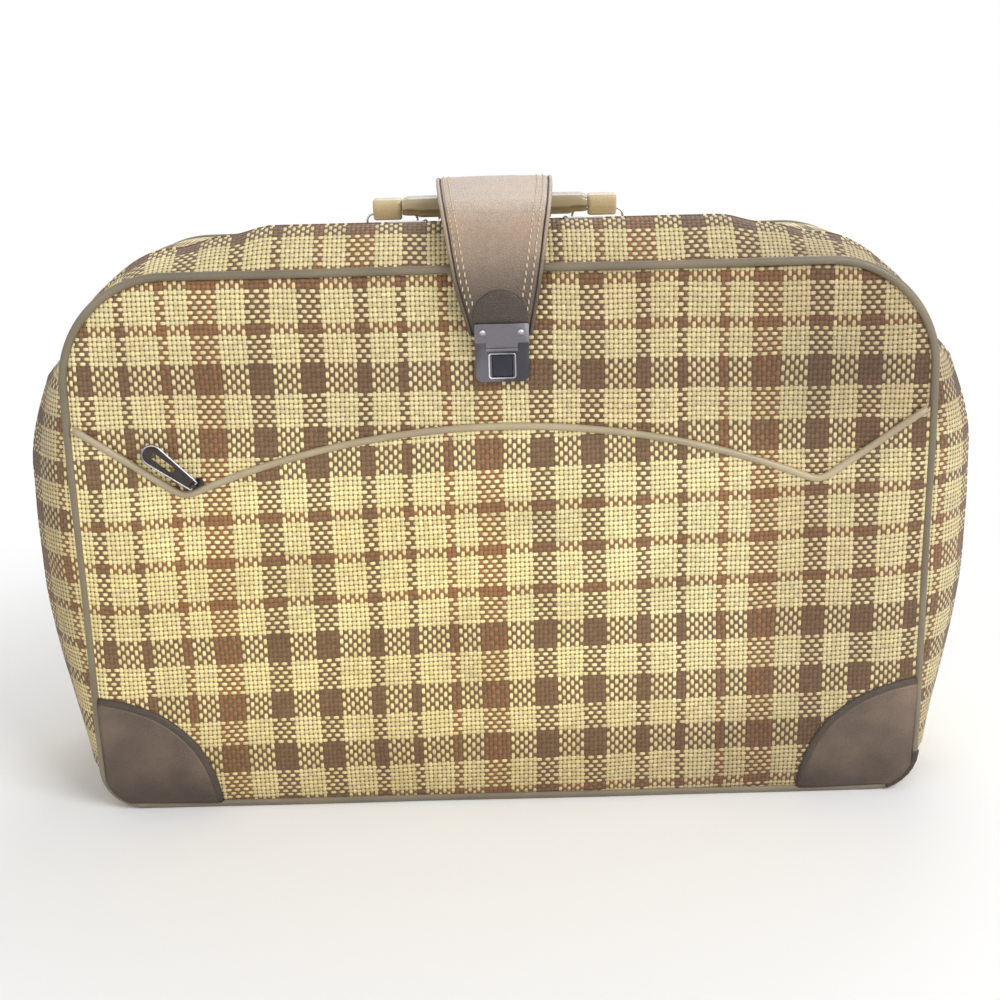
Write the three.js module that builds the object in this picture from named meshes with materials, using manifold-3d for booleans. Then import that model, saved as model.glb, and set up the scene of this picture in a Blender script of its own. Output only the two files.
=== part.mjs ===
// Soft-sided weekend suitcase standing upright: a cloth case that unzips near the front,
// with a lid hinged at the bottom, a zipped front pocket, a low handle and a strap with a press lock.
// Millimetres, +Z up, front facing -Y, origin on the floor under the middle of the case.
import * as THREE from "three";
import { mergeVertices } from "three/addons/utils/BufferGeometryUtils.js";
import Module from "manifold-3d";

const wasm = await Module();
wasm.setup();

// Case
const caseWidth = 556;
const caseHeight = 364;
const caseDepth = 180;
const topCornerRadius = 70;
const bottomCornerRadius = 27;
const pipingRadius = 2.75;
const sideBulge = 44;
const ridgeRise = 23;
const ridgeReach = 42;
const clothThickness = 4;
const clearance = 0.3;
const wallSlack = 1.1;
const liningSlack = 2.3;
const cutOverrun = 1;
const weldDistance = 0.0001;

// Opening between the lid and the rear half
const zipSetback = 38;
const zipChannel = 8;
const hingeGap = 0.4;
const hingeTapeWidth = 22;
const hingeTapeThickness = 0.8;

// Panels, boards and lining
const panelThickness = 3.75;
const boardThickness = 3;
const boardInset = 5;
const liningThickness = 0.8;
const liningInset = 9;
const frameThickness = 1.2;
const frameWidth = 14;
const innerPocketWidth = 360;
const innerPocketHeight = 150;
const innerPocketThickness = 2.4;
const innerPocketHem = 1.8;

// Zip
const zipTapeWidth = 11;
const zipTapeThickness = 0.8;
const zipBeadWidth = 2.2;
const zipBeadHeight = 2.4;
const zipRecess = 3.2;
const zipStartHeight = 62;
const sliderLength = 11;
const sliderWidth = 6.6;
const sliderThickness = 1.7;
const sliderPlace = 45;
const pullLength = 24;
const pullWidth = 5.4;
const pullThickness = 1.3;
const pullPinRadius = 0.7;
const earWall = 1.1;
const sliderEarWall = 0.55;

// Front pocket
const pocketThickness = 2;
const pocketArcRadius = 526;
const pocketArcHalfWidth = 206;
const pocketArcDrop = 100.75;
const pocketEndDrop = 96.75;
const pocketPipingRadius = 2.3;
const pocketZipWidth = 5;
const pocketZipThickness = 1.2;
const pocketSliderWidth = 5.4;
const pocketPullLength = 40;
const pocketPullWidth = 14;
const pocketPullThickness = 1.5;
const pocketPullAngle = 140;
const pocketPullSlotWidth = 4.5;
const pocketPullSlotLength = 17;
const pocketPullNeckWidth = 6.8;
const pocketEarHeight = 4.2;

// Corner patches and the piping sleeve
const patchRadius = 78;
const patchThickness = 1.1;
const sleeveWall = 0.7;

// Strap
const strapThickness = 3;
const strapHalfWidth = 40;
const strapEndHalfWidth = 18;
const strapCrestY = 30;
const strapCrestRise = 43.25;
const strapFoldY = -8;
const strapFoldGap = 0.4;
const strapEndDrop = 40.3;
const strapBarRadius = 2;
const strapBarY = 96.5;
const strapBarRise = 11.25;
const strapLoopWall = 1.9;
const strapLoopHalfWidth = 27.5;
const anchorThickness = 1.6;
const anchorDrop = 48;
const anchorRivetSpacing = 46;
const rivetRadius = 2.3;
const rivetHeight = 1.4;
const patchEndRadius = 17;
const patchEndThickness = 1;

// Lock
const lockOffset = 2;
const lockWidth = 34;
const lockHeight = 32;
const lockDrop = 71.15;
const lockThickness = 3.9;
const lockCorner = 4.5;
const lockFrameWidth = 19;
const lockFrameHeight = 17.6;
const lockFrameThickness = 1.3;
const buttonWidth = 12.6;
const buttonHeight = 13.6;
const buttonThickness = 2.4;
const buttonLift = 1.7;
const haspWidth = 34;
const haspHeight = 13;
const haspThickness = 1.2;
const haspTongueWidth = 20;
const haspTongueDrop = 4.6;
const haspLipRadius = 1.3;
const haspRivetSpacing = 24;
const haspRivetRadius = 2.2;
const haspDropShare = 0.33;
const haspRivetShare = 0.55;

// Handle
const handleY = 35;
const gripHalfLength = 64;
const gripRise = 11.3;
const gripHeight = 14.5;
const gripEndLength = 9;
const gripDepth = 24;
const gripCorner = 5;
const tabLength = 20;
const tabTopDepth = 16;
const tabBottomRadius = 4.5;
const tabHeight = 10.5;
const ringRadius = 1.4;
const ringWidth = 35;
const ringRise = 12.4;
const ringCorner = 4.6;
const chapeWidth = 17;
const chapeDepth = 14;
const chapeThickness = 1;

// Materials
const cloth = { color: 0xb49a68, roughness: 0.9, metalness: 0 };
const pipingVinyl = { color: 0x8d7f62, roughness: 0.5, metalness: 0 };
const brownVinyl = { color: 0x8a6b50, roughness: 0.6, metalness: 0 };
const tanVinyl = { color: 0xb59a68, roughness: 0.5, metalness: 0 };
const liningCloth = { color: 0x9c8a6e, roughness: 0.8, metalness: 0 };
const board = { color: 0x7a6248, roughness: 0.9, metalness: 0 };
const zipCloth = { color: 0x6b5a44, roughness: 0.8, metalness: 0 };
const springSteel = { color: 0x6f7276, roughness: 0.4, metalness: 0.9 };
const nickel = { color: 0xb9b6b0, roughness: 0.3, metalness: 1 };
const gunmetal = { color: 0x55534f, roughness: 0.4, metalness: 1 };
const darkPlastic = { color: 0x20242c, roughness: 0.3, metalness: 0 };

// Derived places
const pipingSides = 6;
const facetedRadius = pipingRadius / Math.cos(Math.PI / pipingSides);
const frontY = -caseDepth / 2;
const backY = caseDepth / 2;
const zipY = frontY + zipSetback;
const lidRimY = zipY - zipChannel / 2;
const rearRimY = zipY + zipChannel / 2;
const bottomZ = pipingRadius;
const topZ = bottomZ + caseHeight;
const pocketArcTop = topZ - pocketArcDrop;
const pocketEndHeight = topZ - pocketEndDrop;
const strapCrestZ = topZ + strapCrestRise;
const strapEndZ = topZ - strapEndDrop;
const strapBarZ = topZ + strapBarRise;
const lockBottom = topZ - lockDrop;
const halfWidth = caseWidth / 2;
const panelFrontY = frontY - panelThickness / 4;
const panelInset = pipingRadius + clearance;
const gussetFrontY = frontY + facetedRadius + clearance;
const gussetBackY = backY - facetedRadius - clearance;
const pocketFrontY = panelFrontY - clearance - pocketThickness;

// Legs of the outline, from the middle of the top round to the middle of the bottom, and their steps
const topSteps = 7;
const topCornerSteps = 6;
const sideSteps = 9;
const bottomCornerSteps = 4;
const bottomSteps = 2;

// How far the cloth stands out along the legs, as shares of the side bulge, at places counted in legs
const bulgeShares = [
  [0, 0.135], [1.5, 0.135], [1.75, 0.08], [2.24, 0.98], [2.38, 1], [2.5, 0.99], [3.3, 0.28],
  [3.6, 0.1], [5, 0.06],
];
const ridgeShares = [[0, 1], [0.69, 1], [0.83, 0.72], [1, 0.36], [1.45, 0], [5, 0]];
const floorShares = [[0, 0], [3.4, 0], [4, 1], [5, 1]];
const zipShares = [[0, 1], [2.9, 1], [3.5, 0], [5, 0]];
const depthPower = 2.5;
const depthRoot = 0.625;

// Value of a table at a place, eased between its rows
function shareAt(rows, place) {
  let i = 0;
  while (i < rows.length - 2 && place > rows[i + 1][0]) i++;
  const [a, va] = rows[i];
  const [b, vb] = rows[i + 1];
  const t = Math.min(Math.max((place - a) / (b - a), 0), 1);
  return va + (vb - va) * (3 - 2 * t) * t * t;
}

// The outline of the panels as points with their outward direction and their place in legs.
// It runs from the middle of the bottom up the right side, over the top and down the left side.
function outlinePoints() {
  const half = [];
  const add = (place, x, z, nx, nz) => half.push({ place, x, z, nx, nz });
  const topStraight = halfWidth - topCornerRadius;
  const sideTop = topZ - topCornerRadius;
  const sideBottom = bottomZ + bottomCornerRadius;
  const bottomStraight = halfWidth - bottomCornerRadius;
  for (let i = 0; i < topSteps; i++) {
    const t = i / topSteps;
    add(t, topStraight * t, topZ, 0, 1);
  }
  for (let i = 0; i < topCornerSteps; i++) {
    const t = i / topCornerSteps;
    const nx = Math.sin((t * Math.PI) / 2);
    const nz = Math.cos((t * Math.PI) / 2);
    add(1 + t, topStraight + topCornerRadius * nx, sideTop + topCornerRadius * nz, nx, nz);
  }
  for (let i = 0; i < sideSteps; i++) {
    const t = i / sideSteps;
    add(2 + t, halfWidth, sideTop + (sideBottom - sideTop) * t, 1, 0);
  }
  for (let i = 0; i < bottomCornerSteps; i++) {
    const t = i / bottomCornerSteps;
    const nx = Math.cos((t * Math.PI) / 2);
    const nz = -Math.sin((t * Math.PI) / 2);
    add(3 + t, bottomStraight + bottomCornerRadius * nx, sideBottom + bottomCornerRadius * nz, nx, nz);
  }
  for (let i = 0; i <= bottomSteps; i++) {
    const t = i / bottomSteps;
    add(4 + t, bottomStraight * (1 - t), bottomZ, 0, -1);
  }
  const right = half.slice().reverse();
  const left = half.slice(1, -1).map((p) => ({ ...p, x: -p.x, nx: -p.nx }));
  return right.concat(left);
}
const outline = outlinePoints();

// How far the cloth stands out of the outline at a place round the case and a depth
function bulgeAt(place, y) {
  const u = Math.abs((2 * y) / caseDepth);
  const depthShare = Math.pow(Math.max(1 - Math.pow(u, depthPower), 0), depthRoot);
  const ridgeShare = Math.max(1 - Math.pow((y - lidRimY) / ridgeReach, 2), 0);
  const soft = sideBulge * shareAt(bulgeShares, place) * depthShare
    + ridgeRise * shareAt(ridgeShares, place) * ridgeShare * Math.sqrt(ridgeShare) * Math.sqrt(depthShare);
  return soft + (pipingRadius - soft) * shareAt(floorShares, place);
}

// A geometry from points and triangles, facing outward
function geometryFrom(points, faces) {
  const geometry = new THREE.BufferGeometry();
  geometry.setAttribute("position", new THREE.Float32BufferAttribute(points.flat(), 3));
  geometry.setIndex(faces.flat());
  const solid = solidOf(geometry);
  return solid.volume() < 0 ? geometryFrom(points, faces.map(([a, b, c]) => [a, c, b])) : geometry;
}

// A band swept round the outline: section gives [out, y] pairs of a closed loop at an outline point
function band(section, from = 0, to = outline.length, closed = true) {
  const stations = outline.slice(from, to);
  const loops = stations.map((p) => section(p).map(([out, y]) => [p.x + p.nx * out, y, p.z + p.nz * out]));
  return loft(loops, closed);
}

// Rows of equal loops joined into one solid, closed on themselves or capped at both ends
function loft(loops, closed) {
  const n = loops[0].length;
  const points = loops.flat();
  const faces = [];
  const last = closed ? loops.length : loops.length - 1;
  for (let i = 0; i < last; i++) {
    const a = i * n;
    const b = ((i + 1) % loops.length) * n;
    for (let k = 0; k < n; k++) {
      const m = (k + 1) % n;
      faces.push([a + k, b + k, b + m], [a + k, b + m, a + m]);
    }
  }
  if (!closed) {
    const end = (loops.length - 1) * n;
    for (const [a, b, c] of capOf(loops[0])) faces.push([a, b, c]);
    for (const [a, b, c] of capOf(loops[loops.length - 1])) faces.push([end + a, end + c, end + b]);
  }
  return geometryFrom(points, faces);
}

// Triangles that fill a flat loop of points in space
function capOf(loop) {
  const p = loop.map((v) => new THREE.Vector3(...v));
  const normal = new THREE.Vector3();
  p.forEach((v, i) => normal.add(new THREE.Vector3().crossVectors(v, p[(i + 1) % p.length])));
  normal.normalize();
  const side = new THREE.Vector3().subVectors(p[1], p[0]).normalize();
  const up = new THREE.Vector3().crossVectors(normal, side);
  const flat = p.map((v) => new THREE.Vector2(v.dot(side), v.dot(up)));
  return THREE.ShapeUtils.triangulateShape(flat, []);
}

// A manifold solid of a geometry
function solidOf(geometry) {
  const bare = new THREE.BufferGeometry();
  bare.setAttribute("position", geometry.getAttribute("position").clone());
  if (geometry.index) bare.setIndex(geometry.index.clone());
  const merged = mergeVertices(bare, weldDistance);
  return new wasm.Manifold(
    new wasm.Mesh({
      numProp: 3,
      vertProperties: merged.getAttribute("position").array,
      triVerts: new Uint32Array(merged.index.array),
    }),
  );
}

// A geometry of a manifold solid
function geometryOf(solid) {
  const mesh = solid.getMesh();
  const geometry = new THREE.BufferGeometry();
  geometry.setAttribute("position", new THREE.BufferAttribute(mesh.vertProperties.slice(), 3));
  geometry.setIndex(new THREE.BufferAttribute(mesh.triVerts.slice(), 1));
  return geometry;
}

// Joins and cuts of geometries
function join(first, ...rest) {
  return geometryOf(rest.reduce((sum, g) => sum.add(solidOf(g)), solidOf(first)));
}
function cut(first, ...rest) {
  return geometryOf(rest.reduce((left, g) => left.subtract(solidOf(g)), solidOf(first)));
}
function common(first, second) {
  return geometryOf(solidOf(first).intersect(solidOf(second)));
}

// A box between two corners
function boxBetween(x0, x1, y0, y1, z0, z1) {
  const box = new THREE.BoxGeometry(x1 - x0, y1 - y0, z1 - z0);
  return box.translate((x0 + x1) / 2, (y0 + y1) / 2, (z0 + z1) / 2);
}

// A round rod along X through a point
function rodAlongX(x0, x1, y, z, radius, sides = 20) {
  const rod = new THREE.CylinderGeometry(radius, radius, x1 - x0, sides);
  return rod.rotateZ(Math.PI / 2).translate((x0 + x1) / 2, y, z);
}

// A round rod along Y through a point
function rodAlongY(x, z, y0, y1, radius, sides = 20) {
  const rod = new THREE.CylinderGeometry(radius, radius, y1 - y0, sides);
  return rod.translate(x, (y0 + y1) / 2, z);
}

// A round rod along Z, as long below a level of zero as above it
function rodAlongZ(x, y, halfLength, radius, sides = 20) {
  const rod = new THREE.CylinderGeometry(radius, radius, halfLength * 2, sides);
  return rod.rotateX(Math.PI / 2).translate(x, y, 0);
}

// A flat shape drawn in x and z, filled between two depths
function plateBetween(shape, y0, y1, curveSegments = 6) {
  const plate = new THREE.ExtrudeGeometry(shape, { depth: y1 - y0, bevelEnabled: false, curveSegments });
  return plate.rotateX(Math.PI / 2).translate(0, y1, 0);
}

// A rectangle with round corners as a shape
function roundedRectangle(x0, x1, z0, z1, radius) {
  const shape = new THREE.Shape();
  shape.moveTo(x0 + radius, z0);
  shape.lineTo(x1 - radius, z0);
  shape.absarc(x1 - radius, z0 + radius, radius, -Math.PI / 2, 0, false);
  shape.lineTo(x1, z1 - radius);
  shape.absarc(x1 - radius, z1 - radius, radius, 0, Math.PI / 2, false);
  shape.lineTo(x0 + radius, z1);
  shape.absarc(x0 + radius, z1 - radius, radius, Math.PI / 2, Math.PI, false);
  shape.lineTo(x0, z0 + radius);
  shape.absarc(x0 + radius, z0 + radius, radius, Math.PI, Math.PI * 1.5, false);
  return shape;
}

// The outline drawn in by an inset, as a shape
function outlineShape(inset) {
  return new THREE.Shape(outline.map((p) => new THREE.Vector2(p.x - p.nx * inset, p.z - p.nz * inset)));
}

// A ribbon along points in y and z, with its half width and middle at each point
function ribbon(points, halfWidths, middles, thickness) {
  const loops = points.map((p, i) => {
    const before = points[Math.max(i - 1, 0)];
    const after = points[Math.min(i + 1, points.length - 1)];
    const along = new THREE.Vector2().subVectors(after, before).normalize();
    const oy = (-along.y * thickness) / 2;
    const oz = (along.x * thickness) / 2;
    const x0 = middles[i] - halfWidths[i];
    const x1 = middles[i] + halfWidths[i];
    return [
      [x0, p.x + oy, p.y + oz],
      [x1, p.x + oy, p.y + oz],
      [x1, p.x - oy, p.y - oz],
      [x0, p.x - oy, p.y - oz],
    ];
  });
  return loft(loops, false);
}

// A domed rivet head whose flat side stands on a plane of constant y, dome towards the given side
function rivetHead(x, z, y, radius, height, side) {
  const profile = [
    new THREE.Vector2(0, 0),
    new THREE.Vector2(radius, 0),
    new THREE.Vector2(radius, height / 3),
    new THREE.Vector2(radius / 2, height * 0.9),
    new THREE.Vector2(0, height),
  ];
  const head = new THREE.LatheGeometry(profile, 12);
  if (side < 0) head.rotateX(Math.PI);
  return head.translate(x, y, z);
}

// The scene and its groups
const suitcase = new THREE.Group();
const rearHalf = new THREE.Group();
const lid = new THREE.Group();
const strap = new THREE.Group();
const handle = new THREE.Group();
suitcase.add(rearHalf, lid, strap, handle);

function addPiece(group, name, geometry, look) {
  const mesh = new THREE.Mesh(geometry, new THREE.MeshStandardMaterial(look));
  mesh.name = name;
  group.add(mesh);
}

// The cloth walls between the panels: outer skin and inner face, parted at the zip and at the bottom hinge
const lidStationShares = [0, 0.13, 0.32, 0.51, 1];
const rearStationShares = [0, 0.12, 0.27, 0.44, 0.62, 0.8, 0.93, 1];
const lidRimAt = (rim) => zipY - hingeGap / 2 + (lidRimY - zipY + hingeGap / 2) * rim;
const rearRimAt = (rim) => zipY + hingeGap / 2 + (rearRimY - zipY - hingeGap / 2) * rim;
const lidStations = lidStationShares.map((share) => gussetFrontY + (lidRimY - gussetFrontY) * share);
const rearStations = rearStationShares.map((share) => rearRimY + (gussetBackY - rearRimY) * share);
function stationsAt(place, stations) {
  const rim = shareAt(zipShares, place);
  const ys = stations.slice();
  if (stations === lidStations) ys[ys.length - 1] = lidRimAt(rim);
  else ys[0] = rearRimAt(rim);
  return ys;
}
function gussetSection(stations) {
  return (p) => {
    const ys = stationsAt(p.place, stations);
    const outer = ys.map((y) => [bulgeAt(p.place, y), y]);
    const inner = outer.map(([out, y]) => [out - clothThickness, y]).reverse();
    return outer.concat(inner);
  };
}
addPiece(lid, "lid_gusset", band(gussetSection(lidStations)), cloth);
addPiece(rearHalf, "rear_gusset", band(gussetSection(rearStations)), cloth);

// How far the faceted wall stands out at a depth between its stations
function wallAt(place, y, stations) {
  const ys = stationsAt(place, stations);
  let i = 0;
  while (i < ys.length - 2 && y > ys[i + 1]) i++;
  const t = (y - ys[i]) / (ys[i + 1] - ys[i]);
  return bulgeAt(place, ys[i]) * (1 - t) + bulgeAt(place, ys[i + 1]) * t;
}

// Front and back panels with their stiffening boards and lining
const panelBackY = panelFrontY + panelThickness;
addPiece(lid, "front_panel", plateBetween(outlineShape(panelInset), panelFrontY, panelBackY), cloth);
addPiece(rearHalf, "back_panel", plateBetween(outlineShape(panelInset), -panelBackY, -panelFrontY), cloth);
const boardFrontY = panelBackY + clearance;
const boardBackY = boardFrontY + boardThickness;
const sheetFrontY = boardBackY + clearance;
const sheetBackY = sheetFrontY + liningThickness;
addPiece(lid, "front_board", plateBetween(outlineShape(boardInset), boardFrontY, boardBackY), board);
addPiece(rearHalf, "back_board", plateBetween(outlineShape(boardInset), -boardBackY, -boardFrontY), board);
const liningShape = outlineShape(liningInset);
addPiece(lid, "lid_lining", plateBetween(liningShape, sheetFrontY, sheetBackY), liningCloth);
addPiece(rearHalf, "rear_lining", plateBetween(liningShape, -sheetBackY, -sheetFrontY), liningCloth);

// Piping round both panels
function roundSection(y, radius, sides) {
  const section = [];
  for (let i = 0; i < sides; i++) {
    const angle = ((i + 0.5) * 2 * Math.PI) / sides;
    section.push([radius * Math.cos(angle), y + radius * Math.sin(angle)]);
  }
  return () => section;
}
addPiece(lid, "front_piping", band(roundSection(frontY, facetedRadius, pipingSides)), pipingVinyl);
addPiece(rearHalf, "back_piping", band(roundSection(backY, facetedRadius, pipingSides)), pipingVinyl);

// Spring steel hoops that keep the mouth of each half in shape, behind the zip tapes
const tapeOuter = clothThickness + wallSlack;
const tapeInner = tapeOuter + zipTapeThickness;
const hoopOuter = tapeInner + wallSlack;
const hoopInner = hoopOuter + frameThickness;
function stripSection(ys, outer, inner, stations) {
  return (p) => {
    const face = ys.map((y) => [wallAt(p.place, y, stations) - outer, y]);
    const back = ys.map((y) => [wallAt(p.place, y, stations) - inner, y]).reverse();
    return face.concat(back);
  };
}
const lidHoopY = lidRimY - clearance;
const rearHoopY = rearRimY + clearance;
const lidHoopSpan = [lidHoopY - frameWidth, lidHoopY];
const rearHoopSpan = [rearHoopY, rearHoopY + frameWidth];
const lidHoopSection = stripSection(lidHoopSpan, hoopOuter, hoopInner, lidStations);
const rearHoopSection = stripSection(rearHoopSpan, hoopOuter, hoopInner, rearStations);
addPiece(lid, "lid_hoop", band(lidHoopSection), springSteel);
addPiece(rearHalf, "rear_hoop", band(rearHoopSection), springSteel);

// Lining of the rear walls, from the hoop to the back board
const wallLiningStart = rearHoopY + frameWidth + clearance;
const wallLiningEnd = -boardBackY - clearance;
const wallLiningOuter = clothThickness + liningSlack;
const wallLiningSpan = [
  wallLiningStart,
  ...rearStations.filter((y) => y > wallLiningStart && y < wallLiningEnd),
  wallLiningEnd,
];
const wallLiningInner = wallLiningOuter + liningThickness;
const wallLiningSection = stripSection(wallLiningSpan, wallLiningOuter, wallLiningInner, rearStations);
addPiece(rearHalf, "rear_wall_lining", band(wallLiningSection), liningCloth);

// Gathered pocket on the rear lining
const innerPocketY = -sheetBackY - clearance;
const innerPocketBottom = bottomZ + liningInset + bottomCornerRadius / 2;
const innerPocketTop = innerPocketBottom + innerPocketHeight;
addPiece(rearHalf, "inner_pocket", join(
  boxBetween(-innerPocketWidth / 2, innerPocketWidth / 2, innerPocketY - innerPocketThickness, innerPocketY,
    innerPocketBottom, innerPocketTop),
  rodAlongX(-innerPocketWidth / 2, innerPocketWidth / 2, innerPocketY - innerPocketHem, innerPocketTop,
    innerPocketHem, 10),
), liningCloth);

// Halves of the main zip, up one side, over the top and down the other
const zipFirst = outline.findIndex((p) => p.x > 0 && p.z > zipStartHeight);
const zipLast = outline.length - zipFirst + 1;
function zipSection(side, stations) {
  return (p) => {
    const base = bulgeAt(p.place, zipY);
    const beadNear = zipY + (side * clearance) / 2;
    const beadFar = beadNear + side * zipBeadWidth;
    const tapeEnd = beadNear + side * (zipBeadWidth + zipTapeWidth);
    const rimStart = zipY + side * (zipChannel / 2 + clearance);
    const tapeBase = wallAt(p.place, tapeEnd, stations);
    const rimBase = wallAt(p.place, rimStart, stations);
    return [
      [base - zipRecess, beadNear],
      [base - zipRecess, beadFar],
      [base - tapeOuter, beadFar],
      [rimBase - tapeOuter, rimStart],
      [tapeBase - tapeOuter, tapeEnd],
      [tapeBase - tapeInner, tapeEnd],
      [rimBase - tapeInner, rimStart],
      [base - tapeInner, beadFar],
      [base - zipRecess - zipBeadHeight, beadFar],
      [base - zipRecess - zipBeadHeight, beadNear],
    ];
  };
}
addPiece(lid, "lid_zip_half", band(zipSection(-1, lidStations), zipFirst, zipLast, false), zipCloth);
addPiece(rearHalf, "rear_zip_half", band(zipSection(1, rearStations), zipFirst, zipLast, false), zipCloth);

// Tapes inside the bottom that carry the cloth hinge
const hingeTapeHalf = halfWidth - bottomCornerRadius - clearance;
const hingeTapeBottom = clothThickness + clearance;
const hingeTapeTop = hingeTapeBottom + hingeTapeThickness;
addPiece(lid, "lid_hinge_tape", boxBetween(-hingeTapeHalf, hingeTapeHalf, zipY - hingeTapeWidth / 2,
  zipY - hingeGap / 2, hingeTapeBottom, hingeTapeTop), liningCloth);
addPiece(rearHalf, "rear_hinge_tape", boxBetween(-hingeTapeHalf, hingeTapeHalf, zipY + hingeGap / 2,
  zipY + hingeTapeWidth / 2, hingeTapeBottom, hingeTapeTop), liningCloth);

// Front pocket: its cloth below a piped edge that dips to a point at each end of an arc
const arcCentreZ = pocketArcTop - pocketArcRadius;
const arcHalfAngle = Math.asin(pocketArcHalfWidth / pocketArcRadius);
const pocketEdgeX = halfWidth - panelInset - clearance;
const arcSteps = 18;
const pocketSeam = [new THREE.Vector2(-pocketEdgeX + pocketPipingRadius, pocketEndHeight)];
for (let i = 0; i <= arcSteps; i++) {
  const angle = -arcHalfAngle + (2 * arcHalfAngle * i) / arcSteps;
  pocketSeam.push(
    new THREE.Vector2(pocketArcRadius * Math.sin(angle), arcCentreZ + pocketArcRadius * Math.cos(angle)),
  );
}
pocketSeam.push(new THREE.Vector2(pocketEdgeX - pocketPipingRadius, pocketEndHeight));

// Directions square to a flat path, lengthened at its bends so that offsets stay even
function mitresOf(path) {
  return path.map((p, i) => {
    const into = new THREE.Vector2().subVectors(p, path[Math.max(i - 1, 0)]).normalize();
    const outOf = new THREE.Vector2().subVectors(path[Math.min(i + 1, path.length - 1)], p).normalize();
    const along = new THREE.Vector2().addVectors(into, outOf).normalize();
    const bend = i > 0 && i < path.length - 1 ? along.dot(outOf) : 1;
    return new THREE.Vector2(-along.y, along.x).divideScalar(bend);
  });
}
const seamMitres = mitresOf(pocketSeam);
const panelEdgeDrop = pocketPipingRadius + clearance;
const panelEdge = pocketSeam.map((p, i) => p.clone().addScaledVector(seamMitres[i], -panelEdgeDrop));
const pocketBelow = new THREE.Shape([
  new THREE.Vector2(-caseWidth, 0),
  new THREE.Vector2(caseWidth, 0),
  new THREE.Vector2(caseWidth, panelEdge[panelEdge.length - 1].y),
  ...panelEdge.slice().reverse(),
  new THREE.Vector2(-caseWidth, panelEdge[0].y),
]);
const pocketBackY = panelFrontY - clearance;
addPiece(lid, "pocket_panel", common(
  plateBetween(outlineShape(panelInset), pocketFrontY, pocketBackY),
  plateBetween(pocketBelow, pocketFrontY - cutOverrun, pocketBackY + cutOverrun),
), cloth);
const pocketPipingY = pocketBackY - pocketPipingRadius;
const pocketPipingSides = 8;
const pocketPipingLoops = pocketSeam.map((p, i) => {
  const loop = [];
  for (let k = 0; k < pocketPipingSides; k++) {
    const angle = (k * 2 * Math.PI) / pocketPipingSides;
    const sideways = pocketPipingRadius * Math.cos(angle);
    loop.push([
      p.x + seamMitres[i].x * sideways,
      pocketPipingY + pocketPipingRadius * Math.sin(angle),
      p.y + seamMitres[i].y * sideways,
    ]);
  }
  return loop;
});
addPiece(lid, "pocket_piping", loft(pocketPipingLoops, false), pipingVinyl);

// Zip of the front pocket along the arc, above the piping
const pocketZipInner = pocketArcRadius + pocketPipingRadius + clearance;
const pocketZipOuter = pocketZipInner + pocketZipWidth;
const pocketZipAngle = arcHalfAngle - pocketZipWidth / pocketArcRadius;
function arcPlate(innerRadius, outerRadius, from, to, y0, y1) {
  const shape = new THREE.Shape();
  shape.absarc(0, arcCentreZ, outerRadius, Math.PI / 2 - from, Math.PI / 2 - to, true);
  shape.absarc(0, arcCentreZ, innerRadius, Math.PI / 2 - to, Math.PI / 2 - from, false);
  return plateBetween(shape, y0, y1, arcSteps);
}
const pocketZipFrontY = pocketBackY - pocketZipThickness;
addPiece(lid, "pocket_zip_tape", arcPlate(pocketZipInner, pocketZipOuter, -pocketZipAngle, pocketZipAngle,
  pocketZipFrontY, pocketBackY), zipCloth);

// Slider of the pocket zip, at the left end of its travel, with an ear that holds the pull's pin
const pocketSliderMiddle = (pocketZipInner + pocketZipOuter) / 2 + clearance;
const pocketSliderAngle = -pocketZipAngle + sliderLength / 2 / pocketArcRadius;
const pocketSliderX = pocketSliderMiddle * Math.sin(pocketSliderAngle);
const pocketSliderZ = arcCentreZ + pocketSliderMiddle * Math.cos(pocketSliderAngle);
const pocketSliderBackY = pocketZipFrontY - clearance;
const pocketSliderFrontY = pocketSliderBackY - sliderThickness;
const pocketPinY = pocketSliderFrontY - pocketEarHeight;
const earRadius = pullPinRadius + clearance + earWall;
const pocketSliderGroup = new THREE.Group();
pocketSliderGroup.position.set(pocketSliderX, 0, pocketSliderZ);
pocketSliderGroup.rotation.y = pocketSliderAngle;
lid.add(pocketSliderGroup);
const pocketSliderShape = roundedRectangle(-sliderLength / 2, sliderLength / 2, -pocketSliderWidth / 2,
  pocketSliderWidth / 2, pocketSliderWidth / 4);
const pullTurn = (pocketPullAngle * Math.PI) / 180 + pocketSliderAngle;
const pocketEarHalf = pocketPullNeckWidth / 4 - clearance;
const pocketEar = cut(
  join(
    rodAlongZ(0, pocketPinY, pocketEarHalf, earRadius, 12),
    boxBetween(-earRadius, earRadius, pocketPinY, pocketSliderBackY - sliderThickness / 2, -pocketEarHalf,
      pocketEarHalf),
  ),
  rodAlongZ(0, pocketPinY, pocketEarHalf + cutOverrun, pullPinRadius + clearance, 12),
).rotateY(-pullTurn);
addPiece(pocketSliderGroup, "pocket_slider", join(
  plateBetween(pocketSliderShape, pocketSliderFrontY, pocketSliderBackY),
  pocketEar,
), gunmetal);

// Teardrop pull of the pocket zip: a slotted plate whose forked neck holds a pin through the slider's ear
const pocketPullGroup = new THREE.Group();
pocketPullGroup.rotation.y = -pullTurn;
pocketSliderGroup.add(pocketPullGroup);
const pullEndRadius = pocketPullWidth / 2;
const pullNeckHalf = pocketPullNeckWidth / 2;
const pullOutline = new THREE.Shape();
pullOutline.moveTo(-pullPinRadius, pullNeckHalf);
pullOutline.lineTo(-pullPinRadius, -pullNeckHalf);
pullOutline.absarc(pocketPullLength - pullEndRadius, 0, pullEndRadius, -Math.PI / 2, Math.PI / 2, false);
const slotEnd = pocketPullLength - pullEndRadius;
pullOutline.holes.push(
  new THREE.Path(
    roundedRectangle(slotEnd - pocketPullSlotLength, slotEnd, -pocketPullSlotWidth / 2,
      pocketPullSlotWidth / 2, pocketPullSlotWidth / 3).getPoints(4),
  ),
);
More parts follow.
